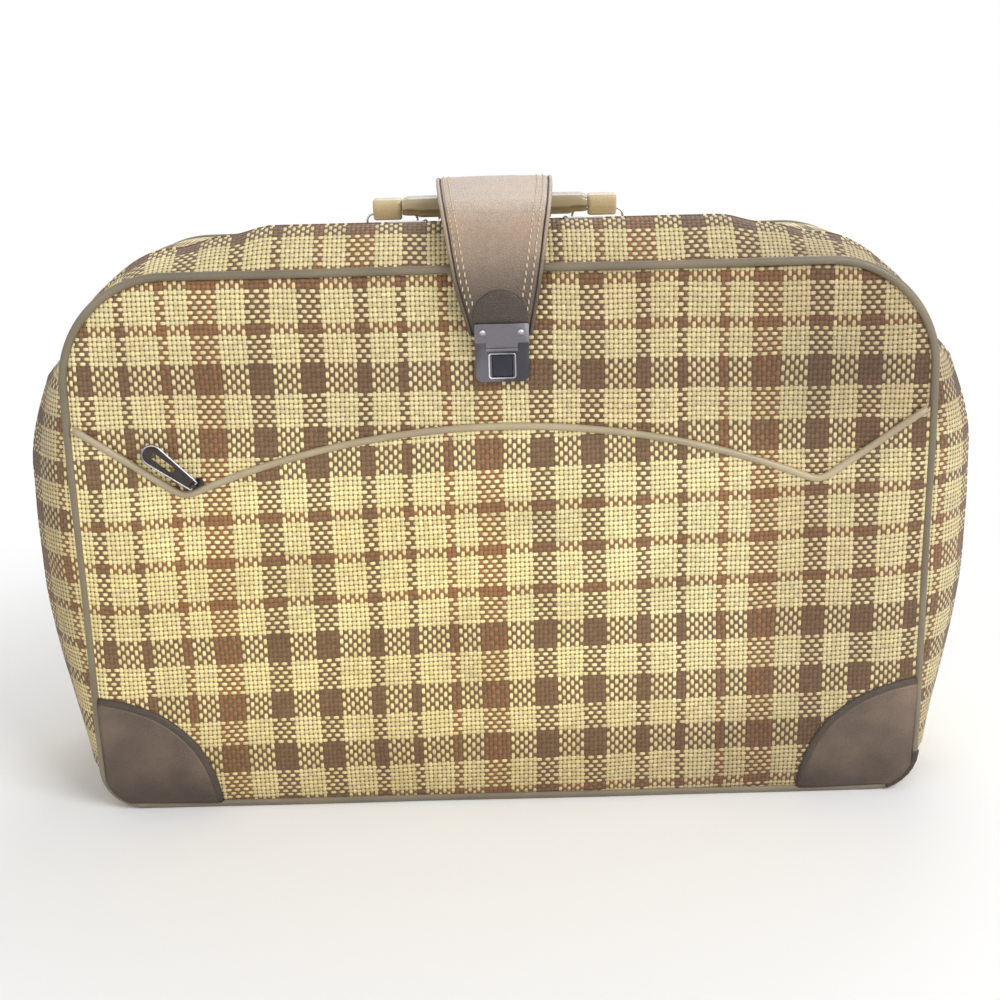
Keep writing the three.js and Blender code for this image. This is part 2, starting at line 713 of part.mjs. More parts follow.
const pullForkEnd = earRadius + clearance;
const pullForkHalf = pocketEarHalf + clearance;
addPiece(pocketPullGroup, "pocket_pull", join(
  cut(
    plateBetween(pullOutline, pocketPinY - pocketPullThickness / 2, pocketPinY + pocketPullThickness / 2, 8),
    boxBetween(-pocketPullLength, pullForkEnd, pocketPinY - pocketPullLength, pocketPinY + pocketPullLength,
      -pullForkHalf, pullForkHalf),
  ),
  rodAlongZ(0, pocketPinY, pullNeckHalf, pullPinRadius, 12),
), gunmetal);

// Vinyl patches over the bottom corners, front and back
const patchFrontY = pocketFrontY - clearance - patchThickness;
function cornerPatch(side, y0) {
  const y1 = y0 + patchThickness;
  const centreX = side * (halfWidth - panelInset);
  const disc = rodAlongY(centreX, bottomZ + panelInset, y0 - cutOverrun, y1 + cutOverrun, patchRadius, 40);
  return common(plateBetween(outlineShape(panelInset + clearance), y0, y1), disc);
}
const backPatchY = -panelFrontY + clearance;
addPiece(lid, "corner_patch_left", cornerPatch(-1, patchFrontY), brownVinyl);
addPiece(lid, "corner_patch_right", cornerPatch(1, patchFrontY), brownVinyl);
addPiece(rearHalf, "back_corner_patch_left", cornerPatch(-1, backPatchY), brownVinyl);
addPiece(rearHalf, "back_corner_patch_right", cornerPatch(1, backPatchY), brownVinyl);

// Sleeve over the joint of the front piping, round the bottom right corner
const sleeveRadius = facetedRadius + clearance + sleeveWall;
const sleeveLeg = 3;
const sleeveFirst = outline.findIndex((p) => p.place <= sleeveLeg + 1);
const sleeveLast = outline.findIndex((p) => p.place < sleeveLeg + 1 / bottomCornerSteps);
const sleeveBody = band(roundSection(frontY, sleeveRadius, pipingSides), sleeveFirst, sleeveLast, false);
const sleeveBore = band(roundSection(frontY, facetedRadius + clearance, pipingSides), sleeveFirst - 1,
  sleeveLast + 1, false);
const sleeveInside = plateBetween(outlineShape(pipingRadius), frontY - caseDepth, frontY + caseDepth);
const sleeveBehind = boxBetween(0, caseWidth, frontY, backY, -caseHeight, caseHeight);
const sleeveUnder = boxBetween(0, caseWidth, frontY - caseDepth, backY, -caseHeight, 0);
const sleeve = cut(sleeveBody, sleeveBore, sleeveInside, sleeveBehind, sleeveUnder);
addPiece(lid, "piping_sleeve", sleeve, pipingVinyl);

// Press lock on the lid: a case with a raised frame round a square window, and the button in the window
const lockBackY = panelFrontY - clearance;
const lockFrontY = lockBackY - lockThickness;
const lockLeft = lockOffset - lockWidth / 2;
const frameFrontY = lockFrontY - lockFrameThickness;
const buttonMiddleZ = lockBottom + buttonLift + lockFrameHeight / 2;
const frameHalfWidth = lockFrameWidth / 2;
const frameHalfHeight = lockFrameHeight / 2;
const windowHalfWidth = buttonWidth / 2 + clearance;
const windowHalfHeight = buttonHeight / 2 + clearance;
const lockPlate = roundedRectangle(lockLeft, lockLeft + lockWidth, lockBottom, lockBottom + lockHeight,
  lockCorner);
const lockFrame = roundedRectangle(lockOffset - frameHalfWidth, lockOffset + frameHalfWidth,
  buttonMiddleZ - frameHalfHeight, buttonMiddleZ + frameHalfHeight, lockCorner / 2);
const lockWindow = boxBetween(lockOffset - windowHalfWidth, lockOffset + windowHalfWidth,
  frameFrontY - cutOverrun, lockBackY + cutOverrun, buttonMiddleZ - windowHalfHeight,
  buttonMiddleZ + windowHalfHeight);
addPiece(lid, "lock_case", cut(
  join(plateBetween(lockPlate, lockFrontY, lockBackY), plateBetween(lockFrame, frameFrontY, lockBackY)),
  lockWindow,
), nickel);
const buttonFrontY = frameFrontY + clearance;
addPiece(lid, "lock_button", boxBetween(lockOffset - buttonWidth / 2, lockOffset + buttonWidth / 2,
  buttonFrontY, buttonFrontY + buttonThickness, buttonMiddleZ - buttonHeight / 2,
  buttonMiddleZ + buttonHeight / 2), darkPlastic);

// Course of the strap in y and z: from its bar behind the case over the handle and down to the lock
const strapEndY = lockFrontY - clearance - strapThickness / 2;
const backRise = { out: 0.28, up: 0.53, crest: 0.5 };
const ridgeDip = { lift: 0.7, level: 0.39, near: 0.28, fall: 0.45 };
const frontDrop = { out: 0, start: 0.1, low: 0.38, spread: 4.2 };
const point = (y, z) => new THREE.Vector2(y, z);
const ridgeTop = topZ + ridgeRise;
const crestReach = strapBarY - strapCrestY;
const courseBack = new THREE.CubicBezierCurve(
  point(strapBarY, strapBarZ),
  point(strapBarY - crestReach * backRise.out, strapBarZ + (strapCrestZ - strapBarZ) * backRise.up),
  point(strapCrestY + crestReach * backRise.crest, strapCrestZ),
  point(strapCrestY, strapCrestZ),
);
const ridgeY = lidRimY - zipChannel / 2;
const ridgeRun = strapCrestY - ridgeY;
const ridgeClear = ridgeTop + (strapCrestZ - ridgeTop) * ridgeDip.lift;
const courseMiddle = new THREE.CubicBezierCurve(
  point(strapCrestY, strapCrestZ),
  point(strapCrestY - ridgeRun * ridgeDip.level, strapCrestZ),
  point(ridgeY + ridgeRun * ridgeDip.near, ridgeClear + (strapCrestZ - ridgeClear) * ridgeDip.fall),
  point(ridgeY, ridgeClear),
);
const dropHeight = ridgeClear - strapEndZ;
const courseFront = new THREE.CubicBezierCurve(
  point(ridgeY, ridgeClear),
  point(strapEndY + (ridgeY - strapEndY) * frontDrop.out, ridgeClear - dropHeight * frontDrop.start),
  point(strapEndY - strapThickness * frontDrop.spread, ridgeClear - dropHeight * frontDrop.low),
  point(strapEndY, strapEndZ),
);
const backSteps = 9;
const middleSteps = 8;
const frontSteps = 12;
const course = [
  ...courseBack.getPoints(backSteps),
  ...courseMiddle.getPoints(middleSteps).slice(1),
  ...courseFront.getPoints(frontSteps).slice(1),
];

// Half width along the strap, full behind the crest and drawn in towards the lock
const strapWidthShares = [[0, 1], [0.42, 1], [0.7, 0.8], [0.88, 0.62], [1, 0.45]];
const courseLengths = course.map((p, i) => (i ? p.distanceTo(course[i - 1]) : 0));
const courseRuns = courseLengths.map((_, i) => courseLengths.slice(0, i + 1).reduce((a, b) => a + b, 0));
const courseTotal = courseRuns[courseRuns.length - 1];
const endWidthShare = strapEndHalfWidth / strapHalfWidth;
function strapHalfAt(run) {
  const share = shareAt(strapWidthShares, run / courseTotal);
  const lowest = strapWidthShares[strapWidthShares.length - 1][1];
  return strapHalfWidth * (1 - ((1 - share) * (1 - endWidthShare)) / (1 - lowest));
}
const foldIndex = course.findIndex((p) => p.x < strapFoldY);
const before = course[foldIndex - 1];
const after = course[foldIndex];
const foldShare = (before.x - strapFoldY) / (before.x - after.x);
const foldPoint = new THREE.Vector2().lerpVectors(before, after, foldShare);
const foldRun = courseRuns[foldIndex - 1] + foldPoint.distanceTo(before);
const foldAlong = new THREE.Vector2().subVectors(after, before).normalize();
const middleAt = (run) => (lockOffset * Math.max(run - foldRun, 0)) / (courseTotal - foldRun);
const backEnd = foldPoint.clone().addScaledVector(foldAlong, -strapFoldGap / 2);
const frontStart = foldPoint.clone().addScaledVector(foldAlong, strapFoldGap / 2);
const backPoints = [...course.slice(0, foldIndex), backEnd];
const backRuns = [...courseRuns.slice(0, foldIndex), foldRun];
const frontPoints = [frontStart, ...course.slice(foldIndex)];
const frontRuns = [foldRun, ...courseRuns.slice(foldIndex)];

// The rear length ends in a loop round the bar, between the loops of the anchor
const loopRadius = strapBarRadius + clearance + strapLoopWall;
const loopSpan = strapHalfWidth + cutOverrun;
const barRod = (x0, x1, radius) => rodAlongX(x0, x1, strapBarY, strapBarZ, radius, 24);
const loopEdge = strapLoopHalfWidth + clearance;
addPiece(strap, "strap_back", cut(
  join(
    cut(
      ribbon(backPoints, backRuns.map(strapHalfAt), backRuns.map(middleAt), strapThickness),
      barRod(-loopSpan, -strapLoopHalfWidth, loopRadius + clearance * 2),
      barRod(strapLoopHalfWidth, loopSpan, loopRadius + clearance * 2),
    ),
    barRod(-strapLoopHalfWidth, strapLoopHalfWidth, loopRadius),
  ),
  barRod(-loopSpan, loopSpan, strapBarRadius + clearance),
), brownVinyl);
addPiece(strap, "strap_front", ribbon(frontPoints, frontRuns.map(strapHalfAt), frontRuns.map(middleAt),
  strapThickness), brownVinyl);

// Anchor of the strap on the back panel: a vinyl tab that passes outside the piping and ends in two loops
const anchorInnerY = -panelFrontY + clearance;
const anchorMidY = anchorInnerY + anchorThickness / 2;
const pastPipingY = backY + facetedRadius + clearance + anchorThickness / 2;
const anchorBottom = strapBarZ - loopRadius - anchorDrop;
const anchorCourse = [
  point(anchorMidY, anchorBottom),
  point(anchorMidY, topZ - pipingRadius * 5),
  point(pastPipingY, topZ - pipingRadius * 2),
  point(pastPipingY, topZ + pipingRadius),
  point(strapBarY - strapBarRadius / 2, strapBarZ - strapBarRadius),
];
const anchorHalves = anchorCourse.map(() => strapHalfWidth);
const anchorMiddles = anchorCourse.map(() => 0);
addPiece(rearHalf, "strap_anchor", cut(
  join(
    cut(ribbon(anchorCourse, anchorHalves, anchorMiddles, anchorThickness),
      barRod(-loopEdge, loopEdge, loopRadius + clearance * 2)),
    barRod(-strapHalfWidth, -loopEdge, loopRadius),
    barRod(loopEdge, strapHalfWidth, loopRadius),
  ),
  barRod(-loopSpan, loopSpan, strapBarRadius + clearance),
), brownVinyl);
const barHeadRadius = strapBarRadius * 1.5;
const barEnd = strapHalfWidth + clearance;
addPiece(rearHalf, "strap_bar", join(
  barRod(-barEnd - cutOverrun, barEnd + cutOverrun, strapBarRadius),
  barRod(-barEnd - cutOverrun, -barEnd, barHeadRadius),
  barRod(barEnd, barEnd + cutOverrun, barHeadRadius),
), nickel);
const anchorOuterY = anchorInnerY + anchorThickness + clearance;
const anchorRivetZ = anchorBottom + rivetRadius * 3;
const anchorRivetX = anchorRivetSpacing / 2;
addPiece(rearHalf, "anchor_rivet_left", rivetHead(-anchorRivetX, anchorRivetZ, anchorOuterY, rivetRadius,
  rivetHeight, 1), nickel);
addPiece(rearHalf, "anchor_rivet_right", rivetHead(anchorRivetX, anchorRivetZ, anchorOuterY, rivetRadius,
  rivetHeight, 1), nickel);

// Hasp on the end of the strap: a round vinyl patch, a riveted plate and a lip that hooks on the lock
const endOuterY = strapEndY - strapThickness / 2;
const [endBefore, endPoint] = course.slice(-2);
const endAlong = new THREE.Vector2().subVectors(endPoint, endBefore).normalize();
const endTilt = Math.atan2(endAlong.x, -endAlong.y);
const haspGroup = new THREE.Group();
haspGroup.position.set(lockOffset, endOuterY, strapEndZ);
haspGroup.rotation.x = endTilt;
strap.add(haspGroup);
const haspBackY = -patchEndThickness - clearance * 3;
const patchEnd = new THREE.Shape();
patchEnd.moveTo(lockOffset - patchEndRadius, strapEndZ);
patchEnd.lineTo(lockOffset + patchEndRadius, strapEndZ);
patchEnd.lineTo(lockOffset + patchEndRadius, strapEndZ + haspHeight / 2);
patchEnd.absarc(lockOffset, strapEndZ + haspHeight / 2, patchEndRadius, 0, Math.PI, false);
const frontMitres = mitresOf(frontPoints);
const patchOut = strapThickness / 2 + clearance + patchEndThickness / 2;
const patchCourse = frontPoints.map((p, i) => p.clone().addScaledVector(frontMitres[i], -patchOut));
addPiece(strap, "strap_end_patch", common(
  ribbon(patchCourse.slice(-frontSteps), frontRuns.slice(-frontSteps).map(() => strapHalfWidth),
    frontRuns.slice(-frontSteps).map(() => 0), patchEndThickness),
  plateBetween(patchEnd, frontY - caseDepth, frontY, 12),
), brownVinyl);
const haspBottom = -haspHeight * haspDropShare;
const haspTop = haspBottom + haspHeight;
const haspFrontY = haspBackY - haspThickness;
const tongueBottom = haspBottom - haspTongueDrop;
const tongueHalf = haspTongueWidth / 2;
addPiece(haspGroup, "hasp_plate", join(
  plateBetween(roundedRectangle(-haspWidth / 2, haspWidth / 2, haspBottom, haspTop, haspThickness),
    haspFrontY, haspBackY, 3),
  boxBetween(-tongueHalf, tongueHalf, haspFrontY, haspBackY, tongueBottom, haspBottom + cutOverrun),
  rodAlongX(-tongueHalf, tongueHalf, haspBackY - haspLipRadius, tongueBottom, haspLipRadius, 12),
), nickel);
const haspRivetZ = haspBottom + haspHeight * haspRivetShare;
const haspRivetY = haspFrontY - clearance;
for (const [side, word] of [[-1, "left"], [1, "right"]]) {
  addPiece(haspGroup, "hasp_rivet_" + word, rivetHead((side * haspRivetSpacing) / 2, haspRivetZ, haspRivetY,
    haspRivetRadius, rivetHeight, -1), nickel);
}

// Sliders and pulls of the main zip, parked beside the strap on top
const zipTop = topZ + bulgeAt(0, zipY) - zipRecess;
const sliderBottomZ = zipTop + clearance;
const sliderTopZ = sliderBottomZ + sliderThickness;
const pullPinZ = sliderTopZ + pullPinRadius + clearance;
const sliderEarRadius = pullPinRadius + clearance + sliderEarWall;
const sliderEarHalf = pullWidth / 4;
const pullEyeHalf = sliderEarHalf + clearance;
function mainSlider(side) {
  const middleX = side * sliderPlace;
  const sliderHalf = sliderLength / 2;
  const ear = new THREE.CylinderGeometry(sliderEarRadius, sliderEarRadius, sliderEarHalf * 2, 12)
    .translate(middleX, zipY, pullPinZ);
  const foot = boxBetween(middleX - sliderEarRadius, middleX + sliderEarRadius, zipY - sliderEarHalf,
    zipY + sliderEarHalf, sliderBottomZ, pullPinZ);
  const plate = boxBetween(middleX - sliderHalf, middleX + sliderHalf, zipY - sliderWidth / 2,
    zipY + sliderWidth / 2, sliderBottomZ, sliderTopZ);
  const holeRadius = pullPinRadius + clearance;
  const hole = new THREE.CylinderGeometry(holeRadius, holeRadius, sliderEarHalf * 2 + cutOverrun, 10)
    .translate(middleX, zipY, pullPinZ);
  return cut(join(plate, foot, ear), hole);
}
function mainPull(side) {
  const middleX = side * sliderPlace;
  const pin = new THREE.CylinderGeometry(pullPinRadius, pullPinRadius, pullWidth, 10)
    .translate(middleX, zipY, pullPinZ);
  const plateEnds = [middleX - side * pullPinRadius, middleX + side * pullLength].sort((a, b) => a - b);
  const plate = boxBetween(...plateEnds, zipY - pullWidth / 2, zipY + pullWidth / 2,
    pullPinZ - pullThickness / 2, pullPinZ + pullThickness / 2);
  const eyeEnds = [middleX - side * pullLength, middleX + side * (sliderEarRadius + clearance)];
  const eye = boxBetween(...eyeEnds.sort((a, b) => a - b), zipY - pullEyeHalf, zipY + pullEyeHalf,
    pullPinZ - pullLength, pullPinZ + pullLength);
  return join(cut(plate, eye), pin);
}
addPiece(rearHalf, "main_slider_left", mainSlider(-1), gunmetal);
addPiece(rearHalf, "main_slider_right", mainSlider(1), gunmetal);
addPiece(rearHalf, "main_pull_left", mainPull(-1), gunmetal);
addPiece(rearHalf, "main_pull_right", mainPull(1), gunmetal);

// Handle: chapes on the rear half, wire rings standing in them, and a grip whose end tabs hang on the rings
const rearTopZ = topZ + bulgeAt(0, handleY);
const chapeBottom = rearTopZ + clearance;
const ringBottomZ = chapeBottom + chapeThickness + clearance + ringRadius;
const ringTopZ = ringBottomZ + ringRise;
const tabMiddleX = gripHalfLength + clearance + tabLength / 2;
const chapeArch = ringRadius + clearance + chapeThickness;
function chape(side) {
  const x = side * tabMiddleX;
  const x0 = x - chapeWidth / 2;
  const x1 = x + chapeWidth / 2;
  return cut(
    join(
      boxBetween(x0, x1, handleY - chapeDepth / 2, handleY + chapeDepth / 2, chapeBottom,
        chapeBottom + chapeThickness),
      boxBetween(x0, x1, handleY - chapeArch, handleY + chapeArch, chapeBottom, ringBottomZ),
      rodAlongX(x0, x1, handleY, ringBottomZ, chapeArch, 20),
    ),
    rodAlongX(x0 - cutOverrun, x1 + cutOverrun, handleY, ringBottomZ, ringRadius + clearance, 16),
  );
}
function ring(side) {
  const x = side * tabMiddleX;
  const halfRing = ringWidth / 2;
  const corners = [];
  const cornerSteps = 3;
  const radius = Math.min(ringCorner, ringRise / 2);
  const centres = [
    [halfRing - radius, ringTopZ - radius, 0],
    [-halfRing + radius, ringTopZ - radius, 1],
    [-halfRing + radius, ringBottomZ + radius, 2],
    [halfRing - radius, ringBottomZ + radius, 3],
  ];
  for (const [cx, cz, quarter] of centres) {
    for (let i = 0; i <= cornerSteps; i++) {
      const angle = ((quarter + i / cornerSteps) * Math.PI) / 2;
      corners.push([x + cx + radius * Math.cos(angle), cz + radius * Math.sin(angle)]);
    }
  }
  const sides = 8;
  const loops = corners.map(([px, pz], i) => {
    const [ax, az] = corners[(i + corners.length - 1) % corners.length];
    const [bx, bz] = corners[(i + 1) % corners.length];
    const along = new THREE.Vector2(bx - ax, bz - az).normalize();
    const loop = [];
    for (let k = 0; k < sides; k++) {
      const angle = (k * 2 * Math.PI) / sides;
      const out = ringRadius * Math.cos(angle);
      loop.push([px + along.y * out, handleY + ringRadius * Math.sin(angle), pz - along.x * out]);
    }
    return loop;
  });
  return loft(loops, true);
}
const tabEdgeShares = [[1, 0.6], [0.9, 0.9], [0.6, 1]];
function tab(side) {
  const x = side * tabMiddleX;
  const x0 = x - tabLength / 2;
  const x1 = x + tabLength / 2;
  const shape = new THREE.Shape();
  const topHalf = tabTopDepth / 2;
  shape.absarc(0, 0, tabBottomRadius, Math.PI, Math.PI * 2, false);
  for (const [out, up] of tabEdgeShares) shape.lineTo(topHalf * out, tabHeight * up);
  for (const [out, up] of tabEdgeShares.toReversed()) shape.lineTo(-topHalf * out, tabHeight * up);
  const body = new THREE.ExtrudeGeometry(shape, { depth: tabLength, bevelEnabled: false, curveSegments: 8 });
  body.rotateX(Math.PI / 2).rotateZ(Math.PI / 2).translate(x0, handleY, ringTopZ);
  const bore = rodAlongX(x0 - cutOverrun, x1 + cutOverrun, handleY, ringTopZ, ringRadius + clearance, 16);
  return cut(body, bore);
}
for (const [side, word] of [[-1, "left"], [1, "right"]]) {
  addPiece(handle, "handle_chape_" + word, chape(side), nickel);
  addPiece(handle, "handle_ring_" + word, ring(side), nickel);
  addPiece(handle, "handle_tab_" + word, tab(side), tanVinyl);
}
const gripTop = ringTopZ + gripRise;
const gripBottom = gripTop - gripHeight;
const gripShape = roundedRectangle(-gripDepth / 2, gripDepth / 2, gripBottom, gripTop, gripCorner);
const gripBody = new THREE.ExtrudeGeometry(gripShape, {
  depth: gripHalfLength * 2,
  bevelEnabled: false,
  curveSegments: 3,
});
gripBody.rotateX(Math.PI / 2).rotateZ(Math.PI / 2).translate(-gripHalfLength, handleY, 0);

// Each end of the grip is cut away underneath, to clear its ring
const gripEndBottom = ringTopZ + ringRadius + clearance;
const gripEndCut = (x0, x1) => boxBetween(x0, x1, handleY - gripDepth, handleY + gripDepth,
  gripBottom - cutOverrun, gripEndBottom);
addPiece(handle, "handle_grip", cut(
  cut(gripBody, gripEndCut(-gripHalfLength - cutOverrun, -gripHalfLength + gripEndLength)),
  gripEndCut(gripHalfLength - gripEndLength, gripHalfLength + cutOverrun),
), tanVinyl);

export default suitcase;
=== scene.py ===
import math

import bmesh
import bpy
from bpy.props import FloatProperty, FloatVectorProperty, IntProperty, PointerProperty
from mathutils import Matrix, Vector, noise


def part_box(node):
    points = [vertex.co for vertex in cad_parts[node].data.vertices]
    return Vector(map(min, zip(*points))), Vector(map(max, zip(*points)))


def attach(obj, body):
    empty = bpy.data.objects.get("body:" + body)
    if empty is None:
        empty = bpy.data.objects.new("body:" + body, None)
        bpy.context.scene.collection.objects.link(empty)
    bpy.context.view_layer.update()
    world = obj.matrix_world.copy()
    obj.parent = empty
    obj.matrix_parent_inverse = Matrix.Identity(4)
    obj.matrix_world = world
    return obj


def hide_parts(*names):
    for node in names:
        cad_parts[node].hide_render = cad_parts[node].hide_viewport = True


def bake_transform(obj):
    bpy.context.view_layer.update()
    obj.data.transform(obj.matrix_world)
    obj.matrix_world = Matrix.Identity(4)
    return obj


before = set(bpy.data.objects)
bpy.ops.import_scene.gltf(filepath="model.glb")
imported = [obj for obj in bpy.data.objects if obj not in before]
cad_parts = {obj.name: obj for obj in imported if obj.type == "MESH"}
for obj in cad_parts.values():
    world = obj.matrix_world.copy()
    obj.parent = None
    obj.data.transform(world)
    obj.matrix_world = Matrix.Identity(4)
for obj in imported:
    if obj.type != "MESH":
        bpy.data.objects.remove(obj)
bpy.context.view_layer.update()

bl_info = {
    "name": "Plaid weekend suitcase",
    "version": (1, 0, 0),
    "blender": (4, 5, 0),
    "location": "3D View > Sidebar > Suitcase",
    "description": "Dresses the suitcase frame in woven plaid, vinyl, metal and lining",
    "category": "Object",
}

MM = 0.001
CASE_MIDDLE = Vector((0, 0, 0.18))
SEAM_INSET = 0.0012
HANDLE_DEPTH = 0.035
POCKET_ARC_HALF, POCKET_ARC_RADIUS, POCKET_ARC_CENTRE = 0.206, 0.526, -0.26
POCKET_END_ACROSS, POCKET_END_HEIGHT = 0.2726, 0.27
QUARTER = math.pi / 2


# Sizes and colours
def length(name, text, millimetres):
    return FloatProperty(name=name, description=text, default=millimetres * MM, unit="LENGTH", precision=5)


def paint(name, text, red, green, blue):
    return FloatVectorProperty(
        name=name, description=text, default=(red, green, blue), subtype="COLOR_GAMMA", size=3, min=0, max=1
    )


class CaseSizes(bpy.types.PropertyGroup):
    """Sizes of the case body"""

    half_width: length("Half width", "Half the width between the piping lines", 278)
    bottom: length("Bottom", "Height of the piping line at the bottom", 2.75)
    top: length("Top", "Height of the piping line at the top", 366.75)
    half_depth: length("Half depth", "Half the depth between the piping lines", 90)
    top_corner: length("Top corner", "Radius of the top corners", 70)
    bottom_corner: length("Bottom corner", "Radius of the bottom corners", 27)
    side_bulge: length("Side bulge", "How far the cloth sides stand out", 44)
    ridge_rise: length("Ridge rise", "Rise of the top behind the front panel", 23)
    ridge_reach: length("Ridge reach", "Reach of that rise to front and back", 42)
    zip_place: length("Zip place", "Where the zip parts the walls, from the middle", -52)
    piping: length("Piping", "Radius of the piping", 2.75)
    panel_front: length("Panel face", "Depth of the front panel's outer face", -90.94)
    pocket_front: length("Pocket face", "Depth of the pocket's outer face", -93.24)
    pocket_fullness: length("Pocket fullness", "How far the pocket stands out in its middle", 3.6)
    patch_radius: length("Patch radius", "Radius of the corner patches", 78)


class WeaveSizes(bpy.types.PropertyGroup):
    """Yarns and stripes of the plaid"""

    warp_pitch: length("Warp pitch", "Spacing of the upright yarns", 2.958)
    weft_pitch: length("Weft pitch", "Spacing of the level yarns", 3.2016)
    warp_start: length("Warp start", "Where an upright stripe group starts on the front", -16.5)
    weft_start: length("Weft start", "Where a level stripe group starts on the pocket", 33.65)
    upper_shift: length("Upper shift", "How far the panel's level stripes sit from the pocket's", 175.5)


class Colours(bpy.types.PropertyGroup):
    """Colours of the cloth and its trim"""

    cream: paint("Cream yarn", "Light yarn of the plaid", 0.965, 0.9, 0.68)
    brown: paint("Brown yarn", "Dark yarn of the plaid", 0.5, 0.385, 0.285)
    rust: paint("Rust yarn", "Reddish yarn of the plaid", 0.61, 0.43, 0.285)
    # The gap colour is painted shade: it fills the holes and the dips of the yarns between their crowns.
    gap: paint("Gap", "What shows between the yarns", 0.42, 0.335, 0.19)
    piping: paint("Piping", "Vinyl of the piping", 0.62, 0.565, 0.46)
    strap: paint("Strap", "Vinyl of the strap", 0.635, 0.55, 0.47)
    patch: paint("Patches", "Vinyl of the corner patches", 0.425, 0.355, 0.3)
    handle: paint("Handle", "Vinyl of the handle", 0.79, 0.72, 0.58)
    thread: paint("Thread", "Stitching of the strap", 0.9, 0.83, 0.71)
    lining: paint("Lining", "Cloth inside the case", 0.66, 0.55, 0.4)
    steel: paint("Lock metal", "Metal of the lock and hasp", 0.46, 0.45, 0.47)
    nickel: paint("Nickel", "Metal of the rings and sliders", 0.78, 0.76, 0.73)
    gunmetal: paint("Gunmetal", "Metal of the pocket pull", 0.3, 0.28, 0.27)
    tape: paint("Zip tape", "Cloth of the zip tapes", 0.42, 0.35, 0.26)


def sizes():
    return bpy.context.scene.suitcase_sizes


def weave():
    return bpy.context.scene.suitcase_weave


def colours():
    return bpy.context.scene.suitcase_colours


def linear(colour):
    """A screen colour as the linear value that a socket takes"""
    return tuple(c / 12.92 if c <= 0.04045 else ((c + 0.055) / 1.055) ** 2.4 for c in colour) + (1,)


def shade(colour, factor):
    return tuple(c * factor for c in colour)


# Shapes that the pieces share
def share_of(low, high, value):
    """How far a value is from low to high, held between 0 and 1"""
    return min(max((value - low) / (high - low), 0), 1)


def smooth(low, high, value):
    t = share_of(low, high, value)
    return t * t * (3 - 2 * t)


def blend_rows(rows, place, curve=smooth):
    """Value of a table at a place, eased between its rows, or straight with share_of as the curve"""
    row = 0
    while row < len(rows) - 2 and place > rows[row + 1][0]:
        row += 1
    (a, low), (b, high) = rows[row], rows[row + 1]
    return low + (high - low) * curve(a, b, place)


def pick(items, share):
    """The item at a share of the way through a list"""
    return items[round(share * (len(items) - 1))]


def lengths_along(points):
    """Running length to each point, and on round to the first"""
    runs = [0.0]
    for a, b in zip(points, points[1:] + points[:1]):
        runs.append(runs[-1] + math.dist(a, b))
    return runs


def rounded_corners(steps):
    """Signs of a rounded box's corners in turn, with the cosine and sine of each step round them"""
    for across, up, start in ((1, 1, 0), (-1, 1, 90), (-1, -1, 180), (1, -1, 270)):
        for k in range(steps):
            angle = math.radians(start + 90 * k / (steps - 1))
            yield across, up, math.cos(angle), math.sin(angle), k == steps - 1


SIDE_ROWS = [
    (0, 0.135), (1.5, 0.135), (1.75, 0.08), (2.24, 0.98), (2.38, 1), (2.5, 0.99), (3.25, 0.26),
    (3.6, 0.1), (5, 0.06),
]
RIDGE_ROWS = [(0, 1), (0.69, 1), (0.83, 0.72), (1, 0.36), (1.45, 0), (5, 0)]
FLOOR_ROWS = [(0, 0), (3.4, 0), (4, 1), (5, 1)]
ZIP_ROWS = [(0, 1), (2.9, 1), (3.5, 0), (5, 0)]
LEG_STEPS = (34, 26, 36, 14, 18)


def edge_at(place):
    """Point of the piping line, its outward direction and its run from the middle of the top.
    Places count the legs: top, top corner, side, bottom corner, bottom. Negative places are on the left."""
    s = sizes()
    p = abs(place)
    top_straight = s.half_width - s.top_corner
    side_top = s.top - s.top_corner
    side_low = s.bottom + s.bottom_corner
    if p <= 1:
        x, z, nx, nz, run = top_straight * p, s.top, 0, 1, top_straight * p
    elif p <= 2:
        a = (p - 1) * QUARTER
        nx, nz = math.sin(a), math.cos(a)
        x, z = top_straight + s.top_corner * nx, side_top + s.top_corner * nz
        run = top_straight + s.top_corner * a
    elif p <= 3:
        x, z, nx, nz = s.half_width, side_top + (side_low - side_top) * (p - 2), 1, 0
        run = top_straight + s.top_corner * QUARTER + (side_top - side_low) * (p - 2)
    elif p <= 4:
        a = (p - 3) * QUARTER
        nx, nz = math.cos(a), -math.sin(a)
        x, z = s.half_width - s.bottom_corner + s.bottom_corner * nx, side_low + s.bottom_corner * nz
        run = top_straight + s.top_corner * QUARTER + side_top - side_low + s.bottom_corner * a
    else:
        x, z, nx, nz = (s.half_width - s.bottom_corner) * (5 - p), s.bottom, 0, -1
        run = top_straight + (s.top_corner + s.bottom_corner) * QUARTER + side_top - side_low
        run += (s.half_width - s.bottom_corner) * (p - 4)
    side = -1 if place < 0 else 1
    return x * side, z, nx * side, nz, run * side


def edge_places(first=-5.0, last=5.0):
    """Places along the outline, close together at its corners"""
    places = [-5.0]
    for start in range(-5, 5):
        steps = LEG_STEPS[start if start >= 0 else -start - 1]
        places += [start + (i + 1) / steps for i in range(steps)]
    inside = [p for p in places if first < p < last]
    return [first] + inside + [last]


def bulge(place, y):
    """How far the cloth wall stands out of the piping line"""
    s = sizes()
    p = abs(place)
    deep = max(1 - abs(y / s.half_depth) ** 2.5, 0) ** 0.625
    near = max(1 - ((y - s.zip_place + 0.004) / s.ridge_reach) ** 2, 0)
    soft = s.side_bulge * blend_rows(SIDE_ROWS, p) * deep
    soft += s.ridge_rise * blend_rows(RIDGE_ROWS, p) * near * math.sqrt(near) * math.sqrt(deep)
    return soft + (s.piping - soft) * blend_rows(FLOOR_ROWS, p)


